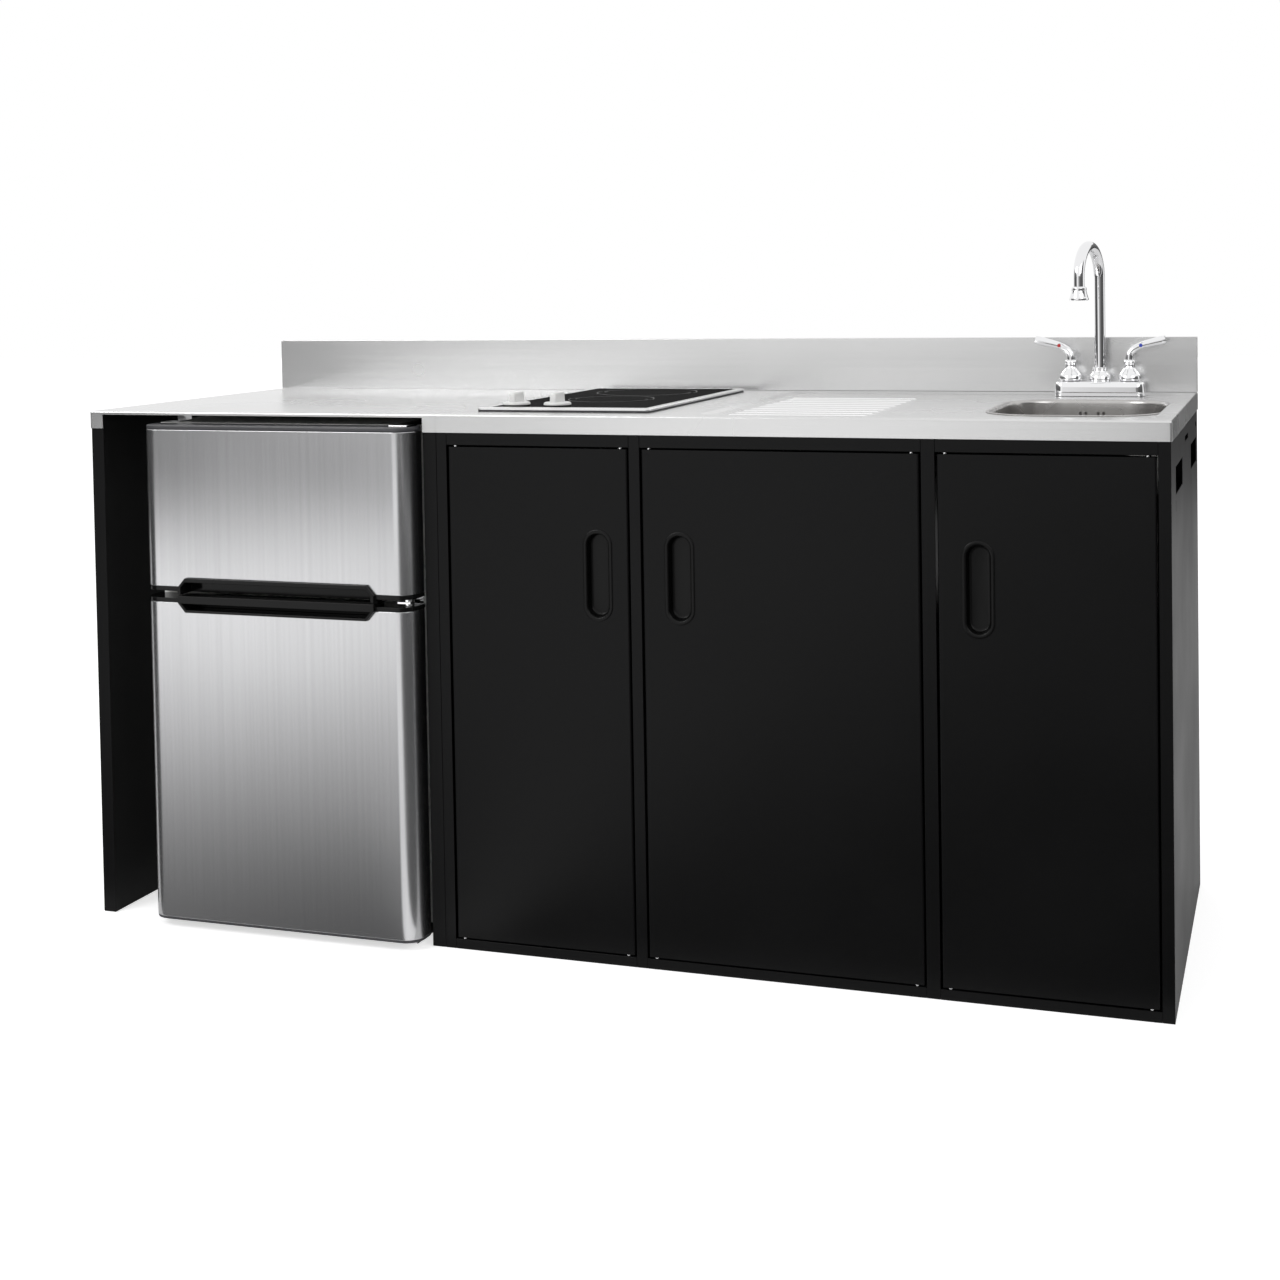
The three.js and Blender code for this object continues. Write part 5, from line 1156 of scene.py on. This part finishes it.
def pool_level(tree, place_at):
    """A pool of light on the floor, bright at its centre and dark beyond its reach."""
    centre, reach = (-3.1, -3.0, 0.0), 4.0
    offset = add(tree, "ShaderNodeVectorMath", {0: place_at, 1: centre}, operation="SUBTRACT")
    length = add(tree, "ShaderNodeVectorMath", {0: offset.outputs[0]}, operation="LENGTH")
    values = {0: length.outputs[1], 1: 0.4, 2: reach, 3: 1.5, 4: 0.13}
    return add(tree, "ShaderNodeMapRange", values, interpolation_type="SMOOTHSTEP").outputs[0]


def wall_level(tree, place_at):
    """Steps of grey along x, as boards of different brightness stand side by side."""
    across = (-9.0, -7.2, -6.2, -5.4, -2.4, -0.6, 0.6, 2.0, 9.0)
    levels = (0.35, 0.3, 0.4, 1.0, 0.95, 0.75, 0.65, 0.25, 0.15)
    x = add(tree, "ShaderNodeSeparateXYZ", {0: place_at}).outputs[0]
    share = add(tree, "ShaderNodeMapRange", {0: x, 1: across[0], 2: across[-1]}).outputs[0]
    ramp = add(tree, "ShaderNodeValToRGB", {0: share})
    stops = ramp.color_ramp.elements
    while len(stops) < len(across):
        stops.new(0.5)
    for stop, at, level in zip(stops, across, levels):
        stop.position = (at - across[0]) / (across[-1] - across[0])
        stop.color = (level, level, level, 1)
    return ramp.outputs[0]


def strip_level(tree, place_at):
    """A bright strip that widens from the fridge's right corner and is brighter far away."""
    depth = add(tree, "ShaderNodeSeparateXYZ", {0: place_at}).outputs[1]
    return add(tree, "ShaderNodeMapRange", {0: depth, 1: -8.8, 2: -0.4, 3: 1.5, 4: 1.1}).outputs[0]


def flag_level(tree, place_at):
    """Dark grey that grows a little lighter with height."""
    height = add(tree, "ShaderNodeSeparateXYZ", {0: place_at}).outputs[2]
    return add(tree, "ShaderNodeMapRange", {0: height, 1: 0.0, 2: 3.0, 3: 0.05, 4: 0.2}).outputs[0]


def make_cards():
    """Grey cards, in metres, that only metal and gloss show, placed for contrast."""
    z, far, near, left, right = 0.0005, -9.0, -0.36, -6.0, 5.0
    strip = [(-0.3, near), (-3.4, -8.8), (0.9, -8.8), (-0.2, near)]
    shade = [(-0.84, near), (-7.3, -6.6), (-8.9, -6.6), (-8.9, near)]
    cards = {
        "strip_card": (strip_level, [(x, y, 2 * z) for x, y in strip]),
        "shade_card": (flag_level, [(x, y, 2 * z) for x, y in shade]),
        "fore_card": (pool_level, [(-9, far, z), (4, far, z), (4, near, z), (-9, near, z)]),
        "wall_card": (wall_level, [(-9, far, 0), (9, far, 0), (9, far, 2.2), (-9, far, 2.2)]),
        "left_flag": (flag_level, [(left, -8, 0), (left, 1.5, 0), (left, 1.5, 3), (left, -8, 3)]),
        "right_flag": (flag_level, [(right, -6, 0), (right, 1, 0), (right, 1, 3), (right, -6, 3)]),
        "back_flag": (flag_level, [(1.1, 6, 0), (5, 6, 0), (5, 6, 3), (1.1, 6, 3)]),
    }
    for name, (level, corners) in cards.items():
        card = stage_plane(name, corners, card_material(name, level))
        card.visible_camera = card.visible_diffuse = card.visible_shadow = False
        card.visible_transmission = False


def make_lamp(name, place_at, target, size, watts):
    """A rectangular lamp that faces its target."""
    data = bpy.data.lights.new(name, "AREA")
    data.shape, data.size, data.size_y, data.energy = "RECTANGLE", *size, watts
    lamp = bpy.data.objects.new(name, data)
    lamp.location = place_at
    aim = Vector(target) - Vector(place_at)
    lamp.rotation_euler = aim.to_track_quat("-Z", "Y").to_euler()
    bpy.context.scene.collection.objects.link(lamp)


def make_camera():
    """The camera, fitted to corners of the unit in the photograph."""
    data = bpy.data.cameras.new("Camera")
    data.sensor_width, data.lens = 36.0, 51.2
    data.shift_x, data.shift_y = -0.075, -0.24
    camera = bpy.data.objects.new("Camera", data)
    camera.location = CORNER + np.array([2017, -2667, 1094]) / 1000
    yaw, pitch, roll = math.radians(17.49), math.radians(1.81), math.radians(-0.87)
    turn = Matrix.Rotation(yaw, 3, "Z") @ Matrix.Rotation(math.pi / 2 - pitch, 3, "X")
    camera.rotation_euler = (turn @ Matrix.Rotation(roll, 3, "Z")).to_euler()
    bpy.context.scene.collection.objects.link(camera)
    bpy.context.scene.camera = camera


def make_stage():
    bpy.context.scene.view_settings.view_transform = "Standard"
    make_world()
    make_floor()
    make_cards()
    make_lamp("key", (-2.2, -2.6, 2.9), (-0.2, 0, 0.6), (1.8, 1.4), 45)
    make_lamp("fill", (2.8, -2.2, 2.4), (0.3, 0, 0.6), (1.8, 1.4), 15)
    make_camera()


# --- operators and panel
class KITCHENETTE_OT_worktops(bpy.types.Operator):
    """Builds both worktops with the pressed drainer, and the backsplash"""

    bl_idname = "kitchenette.worktops"
    bl_label = "Worktops"

    def execute(self, context):
        make_worktops()
        return {"FINISHED"}


class KITCHENETTE_OT_panels(bpy.types.Operator):
    """Finishes the panels, floors and rails of the cabinets and the fridge bay"""

    bl_idname = "kitchenette.panels"
    bl_label = "Cabinet panels"

    def execute(self, context):
        make_panels()
        return {"FINISHED"}


class KITCHENETTE_OT_doors(bpy.types.Operator):
    """Builds the cabinet doors with their finger cups and studs"""

    bl_idname = "kitchenette.doors"
    bl_label = "Cabinet doors"

    def execute(self, context):
        make_doors()
        return {"FINISHED"}


class KITCHENETTE_OT_hob(bpy.types.Operator):
    """Builds the hob with its trim, glass, printed rings and knobs"""

    bl_idname = "kitchenette.hob"
    bl_label = "Hob"

    def execute(self, context):
        make_hob()
        return {"FINISHED"}


class KITCHENETTE_OT_sink(bpy.types.Operator):
    """Builds the bowl with its overflow, the strainer and the drain"""

    bl_idname = "kitchenette.sink"
    bl_label = "Sink"

    def execute(self, context):
        make_sink()
        return {"FINISHED"}


class KITCHENETTE_OT_faucet(bpy.types.Operator):
    """Builds the faucet with its spout and both levers"""

    bl_idname = "kitchenette.faucet"
    bl_label = "Faucet"

    def execute(self, context):
        make_faucet()
        return {"FINISHED"}


class KITCHENETTE_OT_fridge_doors(bpy.types.Operator):
    """Builds both fridge doors with their handles, caps, gaskets and liners"""

    bl_idname = "kitchenette.fridge_doors"
    bl_label = "Fridge doors"

    def execute(self, context):
        make_fridge_doors()
        return {"FINISHED"}


class KITCHENETTE_OT_fridge_body(bpy.types.Operator):
    """Finishes the fridge's cabinet, its inside, hinges and compressor"""

    bl_idname = "kitchenette.fridge_body"
    bl_label = "Fridge body"

    def execute(self, context):
        make_fridge_body()
        return {"FINISHED"}


class KITCHENETTE_OT_stage(bpy.types.Operator):
    """Sets up the floor, lamps, reflection cards and camera"""

    bl_idname = "kitchenette.stage"
    bl_label = "Stage"

    def execute(self, context):
        make_stage()
        return {"FINISHED"}


class KITCHENETTE_PT_panel(bpy.types.Panel):
    bl_label = "Kitchenette"
    bl_idname = "KITCHENETTE_PT_panel"
    bl_space_type = "VIEW_3D"
    bl_region_type = "UI"
    bl_category = "Kitchenette"

    def draw(self, context):
        for group in (context.scene.kitchenette_sizes, context.scene.kitchenette_colours):
            for name in group.__annotations__:
                self.layout.prop(group, name)
        for step in STEPS:
            self.layout.operator(step.bl_idname)


STEPS = (
    KITCHENETTE_OT_worktops,
    KITCHENETTE_OT_panels,
    KITCHENETTE_OT_doors,
    KITCHENETTE_OT_hob,
    KITCHENETTE_OT_sink,
    KITCHENETTE_OT_faucet,
    KITCHENETTE_OT_fridge_doors,
    KITCHENETTE_OT_fridge_body,
    KITCHENETTE_OT_stage,
)
CLASSES = (KitchenetteColours, KitchenetteSizes, *STEPS, KITCHENETTE_PT_panel)


def register():
    for each in CLASSES:
        bpy.utils.register_class(each)
    scene = bpy.types.Scene
    scene.kitchenette_colours = bpy.props.PointerProperty(type=KitchenetteColours)
    scene.kitchenette_sizes = bpy.props.PointerProperty(type=KitchenetteSizes)


def unregister():
    del bpy.types.Scene.kitchenette_sizes
    del bpy.types.Scene.kitchenette_colours
    for each in reversed(CLASSES):
        bpy.utils.unregister_class(each)


def main():
    register()
    bpy.ops.kitchenette.worktops()
    bpy.ops.kitchenette.panels()
    bpy.ops.kitchenette.doors()
    bpy.ops.kitchenette.hob()
    bpy.ops.kitchenette.sink()
    bpy.ops.kitchenette.faucet()
    bpy.ops.kitchenette.fridge_doors()
    bpy.ops.kitchenette.fridge_body()
    bpy.ops.kitchenette.stage()


if __name__ == "__main__":
    main()
